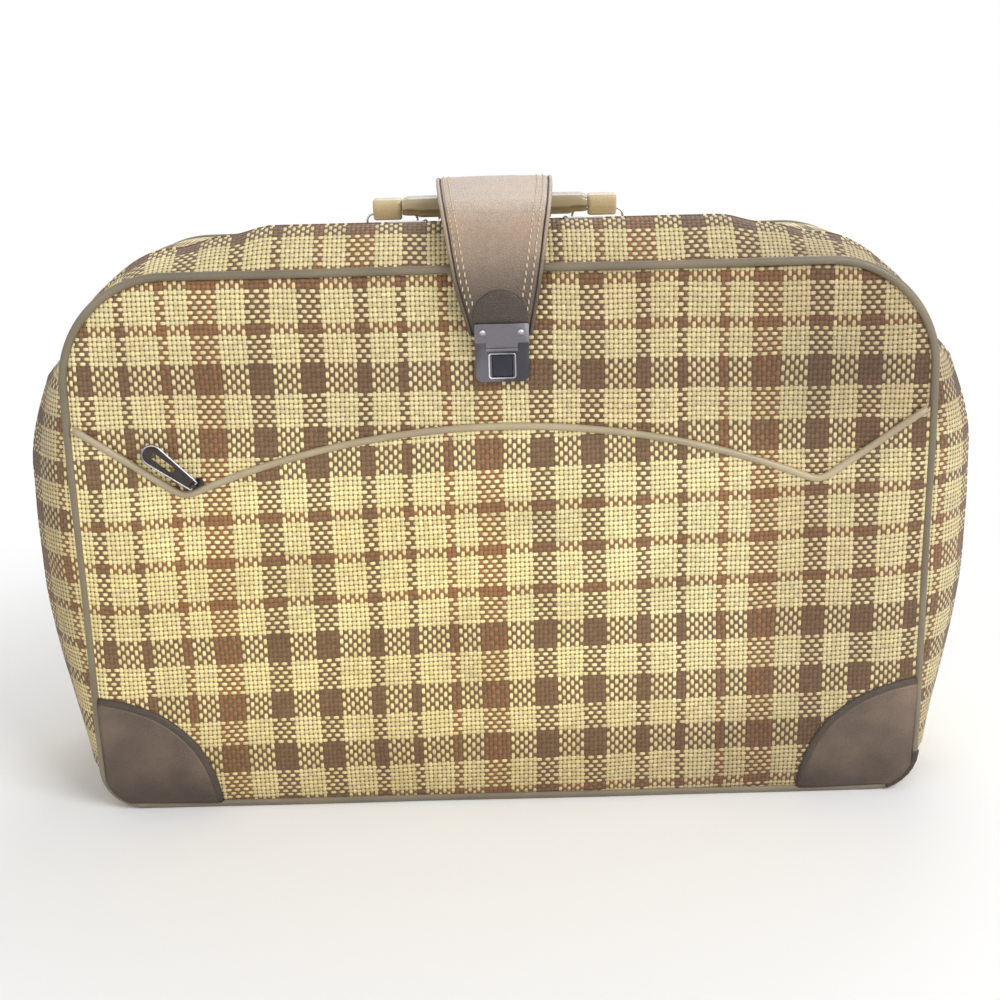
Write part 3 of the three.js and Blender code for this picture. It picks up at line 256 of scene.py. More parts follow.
def rim_of(place, side):
    """Where the wall ends at the zip: side -1 for the lid, 1 for the rear half"""
    open_share = blend_rows(ZIP_ROWS, abs(place))
    return sizes().zip_place + side * (0.0002 + 0.0038 * open_share)


def wrinkle(point, scale, seed=0.0):
    """Slow, repeatable unevenness of cloth, between -1 and 1"""
    return noise.noise(Vector((point[0] * scale + seed, point[1] * scale, point[2] * scale)))


# Mesh helpers
def new_sheet(columns, rows, place):
    """A grid whose points and pattern coordinates come from place(across, along), both from 0 to 1"""
    mesh = bmesh.new()
    bmesh.ops.create_grid(mesh, x_segments=columns, y_segments=rows, size=0.5)
    pattern = mesh.loops.layers.uv.verify()
    spots = {}
    for v in mesh.verts:
        spots[v] = place(min(max(v.co.x + 0.5, 0), 1), min(max(v.co.y + 0.5, 0), 1))
    for face in mesh.faces:
        for loop in face.loops:
            loop[pattern].uv = spots[loop.vert][1]
    for v, (spot, _) in spots.items():
        v.co = spot
    mesh.normal_update()
    return mesh


def weld(mesh, distance=1e-6):
    bmesh.ops.remove_doubles(mesh, verts=mesh.verts, dist=distance)


def cap_ends(mesh):
    """Closes the open ends of a tube"""
    rims = [e for e in mesh.edges if e.is_boundary]
    bmesh.ops.holes_fill(mesh, edges=rims, sides=0)


def face_away(mesh, centre=CASE_MIDDLE, inward=False):
    """Turns an open sheet's faces away from a point, or towards it"""
    facing = sum(f.normal.dot(f.calc_center_median() - centre) * f.calc_area() for f in mesh.faces)
    if (facing < 0) != inward:
        bmesh.ops.reverse_faces(mesh, faces=mesh.faces)


def close_shell(mesh):
    weld(mesh)
    bmesh.ops.recalc_face_normals(mesh, faces=mesh.faces)


def add_part(mesh, matrix, build, **shape):
    """Adds one small shape of a piece's second material to a mesh, put in place by a matrix"""
    before = set(mesh.faces)
    build(mesh, matrix=matrix, **shape)
    for face in set(mesh.faces) - before:
        face.material_index = 1
        face.smooth = True


def add_tooth(mesh, place, turn, size):
    spot = Matrix.Translation(place) @ turn @ Matrix.Diagonal((*size, 1))
    add_part(mesh, spot, bmesh.ops.create_cube, size=1)


def tube(points, radius, closed=False, sides=12):
    """A round tube along points, with its pattern coordinates in metres round and along it"""
    count = len(points)
    runs = lengths_along(points)
    spans = count if closed else count - 1
    frames = []
    for i in range(count):
        before = points[(i - 1) % count] if closed or i else points[0]
        after = points[(i + 1) % count] if closed or i < count - 1 else points[-1]
        along = (after - before).normalized()
        if frames:
            side = (frames[-1][0] - along * frames[-1][0].dot(along)).normalized()
        else:
            side = along.cross(Vector((0, 1, 0)) if abs(along.y) < 0.9 else Vector((1, 0, 0))).normalized()
        frames.append((side, along.cross(side)))

    def place(across, along):
        i = round(along * spans)
        side, up = frames[i % count]
        angle = across * 2 * math.pi
        reach = radius(i / spans) if callable(radius) else radius
        spot = points[i % count] + (side * math.cos(angle) + up * math.sin(angle)) * reach
        return spot, (across * 2 * math.pi * reach, runs[i])

    mesh = new_sheet(sides, spans, place)
    weld(mesh)
    if not closed:
        cap_ends(mesh)
    close_shell(mesh)
    return mesh


def loft(sections, runs):
    """A closed tube through sections of equal count, with flat ends"""
    rows = len(sections) - 1
    count = len(sections[0])
    girth = lengths_along(sections[0])

    def place(across, along):
        i, k = round(along * rows), round(across * count)
        return Vector(sections[i][k % count]), (girth[k], runs[i])

    mesh = new_sheet(count, rows, place)
    weld(mesh)
    cap_ends(mesh)
    close_shell(mesh)
    return mesh


def round_edges(piece, width, segments, angle):
    edge = piece.modifiers.new("Rounded edges", "BEVEL")
    edge.width = width
    edge.segments = segments
    edge.limit_method = "ANGLE"
    edge.angle_limit = math.radians(angle)


def make_piece(name, mesh, materials, body, stands_for=(), thickness=0.0, bevel=0.0, subdivide=0):
    """A finished object from a mesh, riding on its body"""
    data = bpy.data.meshes.new(name)
    for face in mesh.faces:
        face.smooth = True
    mesh.to_mesh(data)
    mesh.free()
    piece = bpy.data.objects.new(name, data)
    bpy.context.scene.collection.objects.link(piece)
    for material in materials if isinstance(materials, (list, tuple)) else [materials]:
        data.materials.append(bpy.data.materials[material])
    if thickness:
        wall = piece.modifiers.new("Thickness", "SOLIDIFY")
        wall.thickness = thickness
        wall.offset = -1
        wall.use_even_offset = False
    if bevel:
        round_edges(piece, bevel, 3, 40)
    if subdivide:
        finer = piece.modifiers.new("Smooth", "SUBSURF")
        finer.levels = subdivide
        finer.render_levels = subdivide
    if body:
        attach(piece, body)
    if stands_for:
        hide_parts(*stands_for)
    return piece


def dress_node(node, material, bevel=0.0):
    """Gives a CAD node its material, and softens its edges"""
    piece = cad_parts[node]
    piece.data.materials.clear()
    piece.data.materials.append(bpy.data.materials[material])
    if bevel:
        join = piece.modifiers.new("Join", "WELD")
        join.merge_threshold = 0.00001
        round_edges(piece, bevel, 2, 35)


# Material helpers
def maths(operation, swapped=False):
    """A method that adds one Math node, with its first two values swapped for a reflected form"""

    def act(self, *others):
        inputs = [*others, self] if swapped else [self, *others]
        return self.finish.add("ShaderNodeMath", {"operation": operation}, inputs)

    return act


class Value:
    """One output in a material's nodes; arithmetic on it adds Math nodes"""

    def __init__(self, finish, node, output=0):
        self.finish = finish
        self.node = node
        outputs = {o.identifier: o for o in node.outputs}
        self.socket = node.outputs[output] if isinstance(output, int) else outputs[output]

    def other(self, output):
        return Value(self.finish, self.node, output)

    __add__ = __radd__ = maths("ADD")
    __sub__, __rsub__ = maths("SUBTRACT"), maths("SUBTRACT", True)
    __mul__ = __rmul__ = maths("MULTIPLY")
    __truediv__, __rtruediv__ = maths("DIVIDE"), maths("DIVIDE", True)
    __gt__ = maths("GREATER_THAN")
    floor, fraction = maths("FLOOR"), maths("FRACT")
    sine, root = maths("SINE"), maths("SQRT")
    at_least, at_most = maths("MAXIMUM"), maths("MINIMUM")

    def eased(self, low, high, start=0.0, end=1.0):
        """Eased from start at low to end at high"""
        settings = {"interpolation_type": "SMOOTHSTEP"}
        return self.finish.add("ShaderNodeMapRange", settings, [self, low, high, start, end])


class Finish:
    """A material while its nodes are laid"""

    def __init__(self, name, kind="materials"):
        self.material = getattr(bpy.data, kind).new(name)
        self.material.use_nodes = True
        self.nodes = self.material.node_tree.nodes
        self.links = self.material.node_tree.links
        self.nodes.clear()

    def add(self, kind, settings=None, inputs=None, output=0):
        """One node of a type, with its settings first and then the values or links of its sockets"""
        node = self.nodes.new(kind)
        for key, value in (settings or {}).items():
            if key == "stops":
                ramp = node.color_ramp
                while len(ramp.elements) < len(value):
                    ramp.elements.new(1)
                for element, (position, colour) in zip(ramp.elements, value):
                    element.position = position
                    element.color = colour
            elif key == "ramp":
                node.color_ramp.interpolation = value
            else:
                setattr(node, key, value)
        pairs = inputs.items() if isinstance(inputs, dict) else enumerate(inputs or [])
        for key, value in pairs:
            if isinstance(key, int):
                socket = node.inputs[key]
            else:
                socket = next(s for s in node.inputs if key in (s.identifier, s.name))
            if isinstance(value, Value):
                self.links.new(value.socket, socket)
            else:
                socket.default_value = value
        return Value(self, node, output)

    def object_place(self):
        return self.add("ShaderNodeTexCoord", output="Object")

    def pattern_place(self):
        return self.add("ShaderNodeTexCoord", output="UV")

    def axes(self, place):
        """The x, y and z of a place"""
        spot = self.add("ShaderNodeSeparateXYZ", {}, {"Vector": place})
        return spot, spot.other("Y"), spot.other("Z")

    def noise(self, place, scale, detail=2.0, rough=0.5):
        inputs = {"Vector": place, "Scale": scale, "Detail": detail, "Roughness": rough}
        return self.add("ShaderNodeTexNoise", {}, inputs)

    def pebbles(self, place, scale):
        """Distance to the edges of a pebble grain's cells"""
        return self.add("ShaderNodeTexVoronoi", {"feature": "DISTANCE_TO_EDGE"}, {"Vector": place, "Scale": scale})

    def luck(self, dimensions, **inputs):
        return self.add("ShaderNodeTexWhiteNoise", {"noise_dimensions": dimensions}, inputs)

    def striped(self, sequence, yarn, colour_of):
        """Colour of a yarn by its number in a stripe sequence given as (kind, yarns)"""
        total = sum(count for _, count in sequence)
        start, stops = 0, []
        for kind, count in sequence:
            stops.append((start / total, colour_of[kind]))
            start += count
        place = ((yarn + 0.5) / total).fraction()
        return self.add("ShaderNodeValToRGB", {"stops": stops, "ramp": "CONSTANT"}, [place])

    def stretched(self, place, x, y, z):
        return self.add("ShaderNodeMapping", {}, {"Vector": place, "Scale": (x, y, z)})

    def mix(self, factor, first, second, blend="MIX"):
        settings = {"data_type": "RGBA", "blend_type": blend}
        inputs = {"Factor_Float": factor, "A_Color": first, "B_Color": second}
        return self.add("ShaderNodeMix", settings, inputs, "Result_Color")

    def tinted(self, colour, amount):
        """A colour made lighter or darker by a value round 1"""
        colour = colour[:3] if isinstance(colour, tuple) else colour
        return self.add("ShaderNodeVectorMath", {"operation": "SCALE"}, {"Vector": colour, "Scale": amount})

    def bump(self, height, strength, distance):
        return self.add("ShaderNodeBump", {}, {"Height": height, "Strength": strength, "Distance": distance}, "Normal")

    def close(self, **sockets):
        inputs = {key.replace("_", " "): value for key, value in sockets.items()}
        self.surface(self.add("ShaderNodeBsdfPrincipled", {}, inputs, "BSDF"), "ShaderNodeOutputMaterial")

    def surface(self, shader, kind):
        self.links.new(shader.socket, self.nodes.new(kind).inputs["Surface"])


WARP_STRIPES = [
    ("rust", 6), ("cream", 6), ("brown", 5), ("cream", 6), ("brown", 5), ("cream", 7),
    ("brown", 3), ("cream", 6), ("brown", 2), ("cream", 7), ("rust", 2), ("cream", 5),
]
WEFT_STRIPES = [
    ("brown", 6), ("cream", 6), ("brown", 6), ("cream", 7), ("brown", 6), ("cream", 6),
    ("rust", 2), ("cream", 7), ("rust", 2), ("cream", 7), ("rust", 2), ("cream", 7),
]


def plaid_material():
    """Plain weave of thick yarns in cream, brown and rust stripes"""
    f = Finish("plaid_cloth")
    c = colours()
    w = weave()
    yarn = {"cream": linear(c.cream), "brown": linear(c.brown), "rust": linear(c.rust)}
    place = f.pattern_place()
    drift = f.noise(place, 14, 2)
    drift_level = f.noise(f.stretched(place, 1, 1.3, 1), 19, 2)
    across, along, _ = f.axes(place)
    u = across / w.warp_pitch + (drift - 0.5) * 1.1
    v = along / w.weft_pitch + (drift_level - 0.5) * 1.1
    u_yarn, v_yarn = u.floor(), v.floor()
    u_off, v_off = (u - u_yarn - 0.5) * 2.7, (v - v_yarn - 0.5) * 2.9
    u_crown = (1 - u_off * u_off).at_least(0).root()
    v_crown = (1 - v_off * v_off).at_least(0).root()
    u_turn = (u_yarn * math.pi + math.pi / 2).sine()
    v_turn = (v_yarn * math.pi + math.pi / 2).sine()
    warp = u_crown * 0.5 + (v * math.pi).sine() * u_turn * 0.5 - (1 - (u_crown > 0.05)) * 2
    weft = v_crown * 0.5 - (u * math.pi).sine() * v_turn * 0.5 - (1 - (v_crown > 0.05)) * 2
    on_top = warp > weft
    height = warp.at_least(weft).at_least(-0.35)
    warp_colour = f.striped(WARP_STRIPES, u_yarn, yarn)
    weft_colour = f.striped(WEFT_STRIPES, v_yarn, yarn)
    cell = f.add("ShaderNodeCombineXYZ", {}, [u_yarn, v_yarn, 0.0])
    cell_luck = f.luck("2D", Vector=cell)
    warp_luck = f.luck("1D", W=u_yarn)
    weft_luck = f.luck("1D", W=v_yarn + 0.37)
    fibre = f.noise(place, 1500, 2)
    warp_colour = f.tinted(warp_colour, warp_luck * 0.16 + 0.92)
    weft_colour = f.tinted(weft_colour, weft_luck * 0.16 + 0.92)
    cloth = f.mix(on_top, weft_colour, warp_colour)
    cloth = f.tinted(cloth, cell_luck * 0.22 + fibre * 0.34 + 0.75)
    # Painted shade: yarns darken towards the gap colour as they dip between crowns and into the holes.
    cloth = f.mix(height.eased(-0.3, 0.8), linear(c.gap), cloth)
    body = f.object_place()
    x, y, z = f.axes(body)
    cloud = f.noise(body, 9, 3)
    blotch = f.noise(body, 24, 2)
    # Painted shade: the upper panel, the right part of the front and the left side are darkened where light falls
    # less. The mask is also darker towards the bottom, and the cloud and blotch noise add uneven soiling. It acts only
    # on the front of the case.
    upper = z.eased(0.235, 0.29) * x.eased(-0.26, 0.05, 0.45, 1)
    right = x.eased(0.08, 0.24)
    low = z.eased(0.085, 0.025)
    left_side_shade = x.eased(-0.275, -0.3)
    painted_shade_and_soil = (upper * 0.55 + right * 0.6 + low * 0.6 + left_side_shade * 0.9 + (cloud - 0.5) * 1.3 + (blotch - 0.5) * 0.7)
    painted_shade_and_soil = painted_shade_and_soil.at_least(0).at_most(1) * y.eased(-0.03, -0.07)
    cloth = f.mix(painted_shade_and_soil, cloth, f.mix(1.0, cloth, linear((0.77, 0.745, 0.75)), "MULTIPLY"))
    cloth = f.tinted(cloth, (blotch - 0.5) * 0.55 + (cloud - 0.5) * 0.35 + 1)
    # Painted light: a warm pool of light tints the lower left of the front, broken up by the cloud noise.
    warm_light_patch = (x.eased(0.16, -0.05) * z.eased(0.3, 0.16) + (cloud - 0.5)).at_least(0).at_most(1)
    cloth = f.mix(warm_light_patch * 0.5, cloth, f.mix(1.0, cloth, linear((1, 0.97, 0.86)), "MULTIPLY"))
    relief = height + fibre * 0.12
    f.close(
        Base_Color=cloth,
        Roughness=0.72 - height * 0.14,
        Specular_IOR_Level=0.35,
        Sheen_Weight=0.12,
        Normal=f.bump(relief, 0.85, 0.0011),
    )


def vinyl_material(name, colour, rough, grain, depth, dark=0.8, wear=0.12):
    """Vinyl with a pebble grain, uneven gloss and slight wear"""
    f = Finish(name)
    place = f.object_place()
    pebble = f.pebbles(place, grain)
    fine = f.noise(place, grain * 2.2, 3)
    cloud = f.noise(place, 16, 3)
    scuff = f.noise(f.stretched(place, 1, 1, 3), 60, 4, 0.65)
    pits = pebble.eased(0.0, 0.22)
    base = f.mix(cloud.eased(0.3, 0.75), linear(shade(colour, dark)), linear(colour))
    base = f.tinted(base, pits * 0.1 + 0.92)
    base = f.mix(scuff.eased(0.58, 0.78) * wear * 2, base, linear(shade(colour, 1.25)))
    f.close(
        Base_Color=base,
        Roughness=(cloud - 0.5) * 0.2 + (1 - pits) * 0.12 + rough,
        Specular_IOR_Level=0.5,
        Normal=f.bump(pits + fine * 0.6, 0.5, depth),
    )


def strap_material(name, factor):
    """Strap vinyl with painted light: a painted highlight over its crest and painted shade darkening down its front"""
    f = Finish(name)
    colour = shade(colours().strap, factor)
    place = f.object_place()
    _, depth, height = f.axes(place)
    pebble = f.pebbles(place, 640)
    crease = f.noise(f.stretched(place, 1, 1, 0.4), 240, 3, 0.6)
    cloud = f.noise(place, 30, 3)
    pits = pebble.eased(0, 0.2)
    front = depth.eased(-0.03, -0.07)
    # Painted light: the front darkens from the crest downward as painted shade, and the top stays light as a painted
    # highlight.
    level = height.eased(0.347, 0.407, 0.3, 1.12) * front + (1 - front) * 1.12
    base = f.tinted(linear(colour), level * ((cloud - 0.5) * 0.5 + pits * 0.22 + crease * 0.3 + 0.68))
    f.close(
        Base_Color=base,
        Roughness=(cloud - 0.5) * 0.25 + (1 - pits) * 0.15 + 0.34,
        Normal=f.bump(pits + crease * 1.4, 0.55, 0.0005),
    )


def patch_material():
    """Corner patch vinyl, darker along a pressed border; the pattern's first coordinate runs to the round edge"""
    f = Finish("patch_vinyl")
    colour = colours().patch
    place = f.object_place()
    grain = f.pebbles(place, 720)
    cloud = f.noise(place, 22, 3)
    edge = f.axes(f.pattern_place())[0]
    border = edge.eased(0.0725, 0.0745)
    groove = edge.eased(0.0718, 0.073) * edge.eased(0.073, 0.0744, 1, 0)
    pits = grain.eased(0, 0.2)
    height = f.axes(place)[2]
    base = f.mix(cloud.eased(0.3, 0.72), linear(shade(colour, 0.82)), linear(shade(colour, 1.12)))
    # Painted light: the patch is lighter towards its top and darker towards the floor.
    base = f.tinted(base, height.eased(0.0, 0.075, 0.62, 1.18) + (cloud - 0.5) * 0.3)
    base = f.mix(border * 0.8, base, linear(shade(colour, 0.6)))
    base = f.tinted(base, pits * 0.2 + 0.86)
    f.close(
        Base_Color=base,
        Roughness=(cloud - 0.5) * 0.2 + 0.44,
        Normal=f.bump(pits * 0.5 - groove * 1.4, 0.7, 0.0006),
    )


def metal_material(name, colour, rough, metallic, age):
    """Plated metal with brushed streaks, dull spots and fine scratches"""
    f = Finish(name)
    place = f.object_place()
    streak = f.noise(f.stretched(place, 1, 1, 0.1), 1800, 2)
    cloud = f.noise(place, 130, 4)
    base = f.mix(cloud.eased(0.4, 0.75) * age, linear(colour), linear(shade(colour, 0.55)))
    f.close(
        Base_Color=base,
        Metallic=metallic,
        Roughness=(streak - 0.5) * 0.12 + cloud.eased(0.35, 0.8) * 0.2 + rough,
        Normal=f.bump(streak + cloud, 0.12, 0.0002),
    )


def lock_material(name, dull, bright):
    """Lock plating with painted reflections: bright patches over dull metal stand in for the changing reflections of
    the surroundings
    """
    f = Finish(name)
    place = f.object_place()
    patches = f.noise(f.stretched(place, 1, 1, 0.7), 42, 1, 0.4)
    streak = f.noise(f.stretched(place, 0.2, 1, 1), 1500, 2)
    speck = f.noise(place, 420, 4, 0.7)
    # Painted reflection: noise patches mix the dull and the bright metal.
    base = f.mix(patches.eased(0.36, 0.62), linear(dull), linear(bright))
    base = f.tinted(base, (streak - 0.5) * 0.3 - speck.eased(0.6, 0.75) * 0.35 + 1)
    f.close(
        Base_Color=base,
        Metallic=1.0,
        Roughness=(streak - 0.5) * 0.2 + patches.eased(0.4, 0.7, 0.34, 0.18),
        Normal=f.bump(streak + patches * 2, 0.3, 0.0002),
    )


def fabric_material(name, colour, pitch, rough, shine=0.1):
    """Fine plain cloth, its weave laid in metres on the object"""
    f = Finish(name)
    place = f.object_place()
    x, y, z = ((axis * (2 * math.pi / pitch)).sine() for axis in f.axes(place))
    across, level = x + y, z
    cloud = f.noise(place, 12, 3)
    fine = f.noise(place, 1600, 2)
    base = f.mix(cloud.eased(0.3, 0.7), linear(shade(colour, 0.9)), linear(colour))
    base = f.tinted(base, (across + level) * 0.025 + fine * 0.14 + 0.93)
    f.close(
        Base_Color=base,
        Roughness=(fine - 0.5) * 0.15 + rough,
        Sheen_Weight=shine,
        Normal=f.bump(across + level + fine, 0.35, 0.0002),
    )


class SUITCASE_OT_materials(bpy.types.Operator):
    """Make the cloth, vinyl, metal and thread materials"""

    bl_idname = "suitcase.materials"
    bl_label = "Materials"

    def execute(self, context):
        c = colours()
        plaid_material()
        patch_material()
        # The panel piping and the pocket piping are one vinyl in two copies: darkened for the panel piping as painted
        # shade, and lightened and glossier for the pocket piping as painted light.
        vinyl_material("piping_vinyl", shade(c.piping, 0.84), 0.3, 900.0, 0.0001, 0.84, 0.08)
        vinyl_material("pocket_piping_vinyl", shade(c.piping, 1.18), 0.2, 900.0, 0.0001, 0.86, 0.16)
        strap_material("strap_vinyl", 1.06)
        strap_material("strap_cap_vinyl", 0.78)
        vinyl_material("sleeve_vinyl", shade(c.patch, 0.62), 0.5, 700.0, 0.0003)
        vinyl_material("handle_vinyl", tuple(c.handle), 0.2, 520.0, 0.00008, 0.84, 0.05)
        # The tab vinyl is a lighter, glossier copy of the handle vinyl: a painted highlight on the end tabs.
        vinyl_material("tab_vinyl", shade(c.handle, 1.08), 0.14, 500.0, 0.00005, 0.94, 0.05)
        vinyl_material("edge_vinyl", shade(c.strap, 0.45), 0.6, 800.0, 0.0003)
        fabric_material("thread", tuple(c.thread), 0.0007, 0.7)
        fabric_material("lining_cloth", tuple(c.lining), 0.0016, 0.55, 0.3)
        fabric_material("zip_tape_cloth", tuple(c.tape), 0.0012, 0.85)
        fabric_material("board_fibre", (0.47, 0.38, 0.28), 0.003, 0.9)
        # One steel in three brightnesses: lighter on the hasp, darker on the lock case, and brightest on the window
        # rim and rivets, where it is a painted highlight along their edges.
        lock_material("hasp_metal", shade(c.steel, 1.05), shade(c.steel, 1.6))
        lock_material("lock_metal", shade(c.steel, 0.68), shade(c.steel, 0.98))
        lock_material("rim_metal", shade(c.steel, 1.5), shade(c.steel, 1.95))
        metal_material("nickel_plate", tuple(c.nickel), 0.16, 1.0, 0.15)
        metal_material("gunmetal_plate", tuple(c.gunmetal), 0.3, 1.0, 0.4)
        metal_material("button_enamel", (0.1, 0.12, 0.17), 0.18, 0.0, 0.3)
        return {"FINISHED"}


# Cloth walls
def wall_sheet(side):
    """Outer skin of one wall: side -1 for the lid, 1 for the rear half"""
    places = edge_places()
    s = sizes()
    rows = 26 if side < 0 else 60
    far = side * (s.half_depth - 0.0003)
    shares = [1 - (1 - i / rows) ** 1.9 for i in range(rows + 1)]
    lengths = {}
    for p in places:
        near = rim_of(p, side)
        course = [near + (far - near) * share for share in shares]
        lengths[p] = lengths_along([(y, bulge(p, y)) for y in course])

    def place(across, along):
        p = pick(places, across)
        row = round(along * rows)
        y = rim_of(p, side) + (far - rim_of(p, side)) * shares[row]
        x, z, nx, nz, run = edge_at(p)
        spot = Vector((x, y, z))
        quiet = smooth(0.0, 0.3, 1 - abs(2 * shares[row] - 1))
        floor = 1 - blend_rows(FLOOR_ROWS, abs(p))
        dent = wrinkle(spot, 14) * 0.0012 + wrinkle(spot, 38, 5.0) * 0.0004 - 0.0006
        reach = bulge(p, y) + dent * quiet * floor
        spot = Vector((x + nx * reach, y, z + nz * reach))
        along_cloth = s.zip_place + side * lengths[p][row]
        drawn = blend_rows([(0, 0.3), (1, 0.3), (1.6, 1), (5, 1)], abs(p))
        return spot, (run - 0.083, y + (along_cloth - y) * drawn + 0.0662)

    mesh = new_sheet(len(places) - 1, rows, place)
    weld(mesh)
    face_away(mesh)
    return mesh


class SUITCASE_OT_walls(bpy.types.Operator):
    """Make the woven walls of the lid and of the rear half"""

    bl_idname = "suitcase.walls"
    bl_label = "Walls"

    def execute(self, context):
        make_piece("lid_wall_cloth", wall_sheet(-1), "plaid_cloth", "lid", ["lid_gusset"], 0.0036)
        make_piece("rear_wall_cloth", wall_sheet(1), "plaid_cloth", "rear_half", ["rear_gusset"], 0.0036)
        return {"FINISHED"}


# Panels
def corner_span(x, inset):
    """Lowest and highest point of the panel's outline at x"""
    s = sizes()
    half = s.half_width - inset
    x = min(abs(x), half)

    def drop(radius):
        over = x - (half - radius + inset)
        r = radius - inset
        return r - math.sqrt(max(r * r - over * over, 0)) if over > 0 else 0

    return s.bottom + inset + drop(s.bottom_corner), s.top - inset - drop(s.top_corner)


def panel_columns(inset):
    """Places across a panel, close together at its round corners"""
    s = sizes()
    half = s.half_width - inset
    r = s.top_corner - inset
    corner = [half - r + r * math.sin(i / 22 * math.pi / 2) for i in range(1, 23)]
    middle = [(half - r) * i / 44 for i in range(45)]
    right = middle + corner
    return [-x for x in reversed(right[1:])] + right


def edge_fall(x, z, low, high, half, reach):
    """1 inside a panel, falling to 0 at its edge"""
    near = min(half - abs(x), z - low, high - z)
    return smooth(-0.001, reach, near)


def pocket_line(x):
    """Height of the pocket's piped edge at x"""
    x = abs(x)
    across = min(x, POCKET_ARC_HALF)
    arc = POCKET_ARC_CENTRE + math.sqrt(POCKET_ARC_RADIUS**2 - across**2)
    return arc + (POCKET_END_HEIGHT - arc) * max(x - POCKET_ARC_HALF, 0) / (POCKET_END_ACROSS - POCKET_ARC_HALF)


def arc_spot(angle, reach, y):
    """A point a distance from the middle of the pocket's arc"""
    return Vector((reach * math.sin(angle), y, POCKET_ARC_CENTRE + reach * math.cos(angle)))


def pocket_depth(x, z):
    """Outer face of the pocket cloth, full in its middle and drawn in along its seams"""
    s = sizes()
    low, _ = corner_span(x, 0.001)
    edge = edge_fall(x, z, low, 9, s.half_width, 0.03)
    seam = smooth(0.0, 0.07, pocket_line(x) - z)
    full = s.pocket_fullness * edge * (0.25 + 0.75 * seam)
    ripple = wrinkle((x, 0, z), 11, 3.0) * 0.0011 + wrinkle((x, 0, z), 30, 8.0) * 0.0003
    tuck = (1 - smooth(-0.001, 0.011, min(s.half_width - abs(x), z - low))) * 0.0022
    return s.pocket_front - full - ripple * edge * seam + tuck


def back_depth(x, z):
    """Outer face of the back panel, slightly full in its middle"""
    s = sizes()
    low, high = corner_span(x, SEAM_INSET)
    fall = edge_fall(x, z, low, high, s.half_width - SEAM_INSET, 0.012)
    full = edge_fall(x, z, low, high, s.half_width - SEAM_INSET, 0.1)
    return -s.panel_front - 0.0012 * (1 - fall) + 0.001 * full + 0.0006 * wrinkle((x, 2, z), 9) * fall


def upper_pattern(x, z):
    """Pattern place of the front panel's cloth, which lies slightly turned"""
    w = weave()
    return x - w.warp_start, z - w.weft_start - w.upper_shift + 0.01 * (x - 0.008)


def panel_sheet(front):
    """The woven cloth of the front panel or of the back one"""
    s = sizes()
    columns = panel_columns(SEAM_INSET)
    half = s.half_width - SEAM_INSET
    w = weave()

    def place(across, along):
        x = pick(columns, across)
        low, high = corner_span(x, SEAM_INSET)
        z = low + (high - low) * along
        fall = edge_fall(x, z, low, high, half, 0.012)
        if front:
            y = s.panel_front + 0.0012 * (1 - fall) + 0.0003 * wrinkle((x, 0, z), 24) * fall
            pattern = upper_pattern(x, z)
        else:
            y = back_depth(x, z)
            pattern = (x - w.warp_start, z - w.weft_start)
        return Vector((x, y, z)), pattern

    mesh = new_sheet(len(columns) - 1, 84, place)
    face_away(mesh)
    return mesh


def pocket_sheet():
    """The pocket's cloth up to its piped edge"""
    columns = panel_columns(SEAM_INSET)
    w = weave()

    def place(across, along):
        x = pick(columns, across)
        low, _ = corner_span(x, SEAM_INSET)
        high = pocket_line(x) - 0.001
        z = low + (high - low) * (1 - (1 - along) ** 1.15)
        pattern = (x - w.warp_start, z - w.weft_start - 0.027 * (x - 0.008))
        return Vector((x, pocket_depth(x, z), z)), pattern

    mesh = new_sheet(len(columns) - 1, 78, place)
    face_away(mesh)
    return mesh


class SUITCASE_OT_panels(bpy.types.Operator):
    """Make the woven front panel, its pocket and the back panel"""

    bl_idname = "suitcase.panels"
    bl_label = "Panels"

    def execute(self, context):
        make_piece("front_panel_cloth", panel_sheet(True), "plaid_cloth", "lid", ["front_panel"], 0.0026)
        make_piece("back_panel_cloth", panel_sheet(False), "plaid_cloth", "rear_half", ["back_panel"], 0.0026)
        make_piece("pocket_cloth", pocket_sheet(), "plaid_cloth", "lid", ["pocket_panel"], 0.0017)
        return {"FINISHED"}


# Piping
def piping_points(y):
    """Slightly wavering course of the piping round a panel"""
    points = []
    for place in edge_places()[:-1]:
        x, z, nx, nz = edge_at(place)[:4]
        sway = wrinkle((x, y, z), 10, 2.0) * 0.0005
        points.append(Vector((x + nx * sway, y + wrinkle((x, y, z), 13, 9.0) * 0.0004, z + nz * sway)))
    return points


class SUITCASE_OT_piping(bpy.types.Operator):
    """Make the piping of both panels and of the pocket, and the sleeve at a bottom corner"""

    bl_idname = "suitcase.piping"
    bl_label = "Piping"

    def execute(self, context):
        s = sizes()
        for word, side, body in (("front", -1, "lid"), ("back", 1, "rear_half")):
            cord = tube(piping_points(side * s.half_depth), s.piping, True, 16)
            make_piece(f"{word}_piping_cord", cord, "piping_vinyl", body, [f"{word}_piping"])
        seam = []
        steps = 120
        for i in range(steps + 1):
            x = -0.2735 + 0.547 * i / steps
            bend = min(abs(abs(x) - POCKET_ARC_HALF) / 0.007, 1)
            z = pocket_line(x) + (1 - bend) ** 2 * 0.002
            depth = s.panel_front - 0.0023 - 0.0004 * (1 - abs(x) / s.half_width)
            seam.append(Vector((x, depth, z)))
        make_piece(
            "pocket_piping_cord", tube(seam, 0.0024, False, 14), "pocket_piping_vinyl", "lid", ["pocket_piping"],
        )
        corner = []
        for i in range(25):
            x, z = edge_at(3.02 + 0.78 * i / 24)[:2]
            corner.append(Vector((x, -s.half_depth, z)))
        make_piece(
            "corner_sleeve", tube(corner, lambda t: 0.0035 + 0.0001 * math.sin(t * 40), False, 18), "sleeve_vinyl",
            "lid", ["piping_sleeve"],
        )
        return {"FINISHED"}


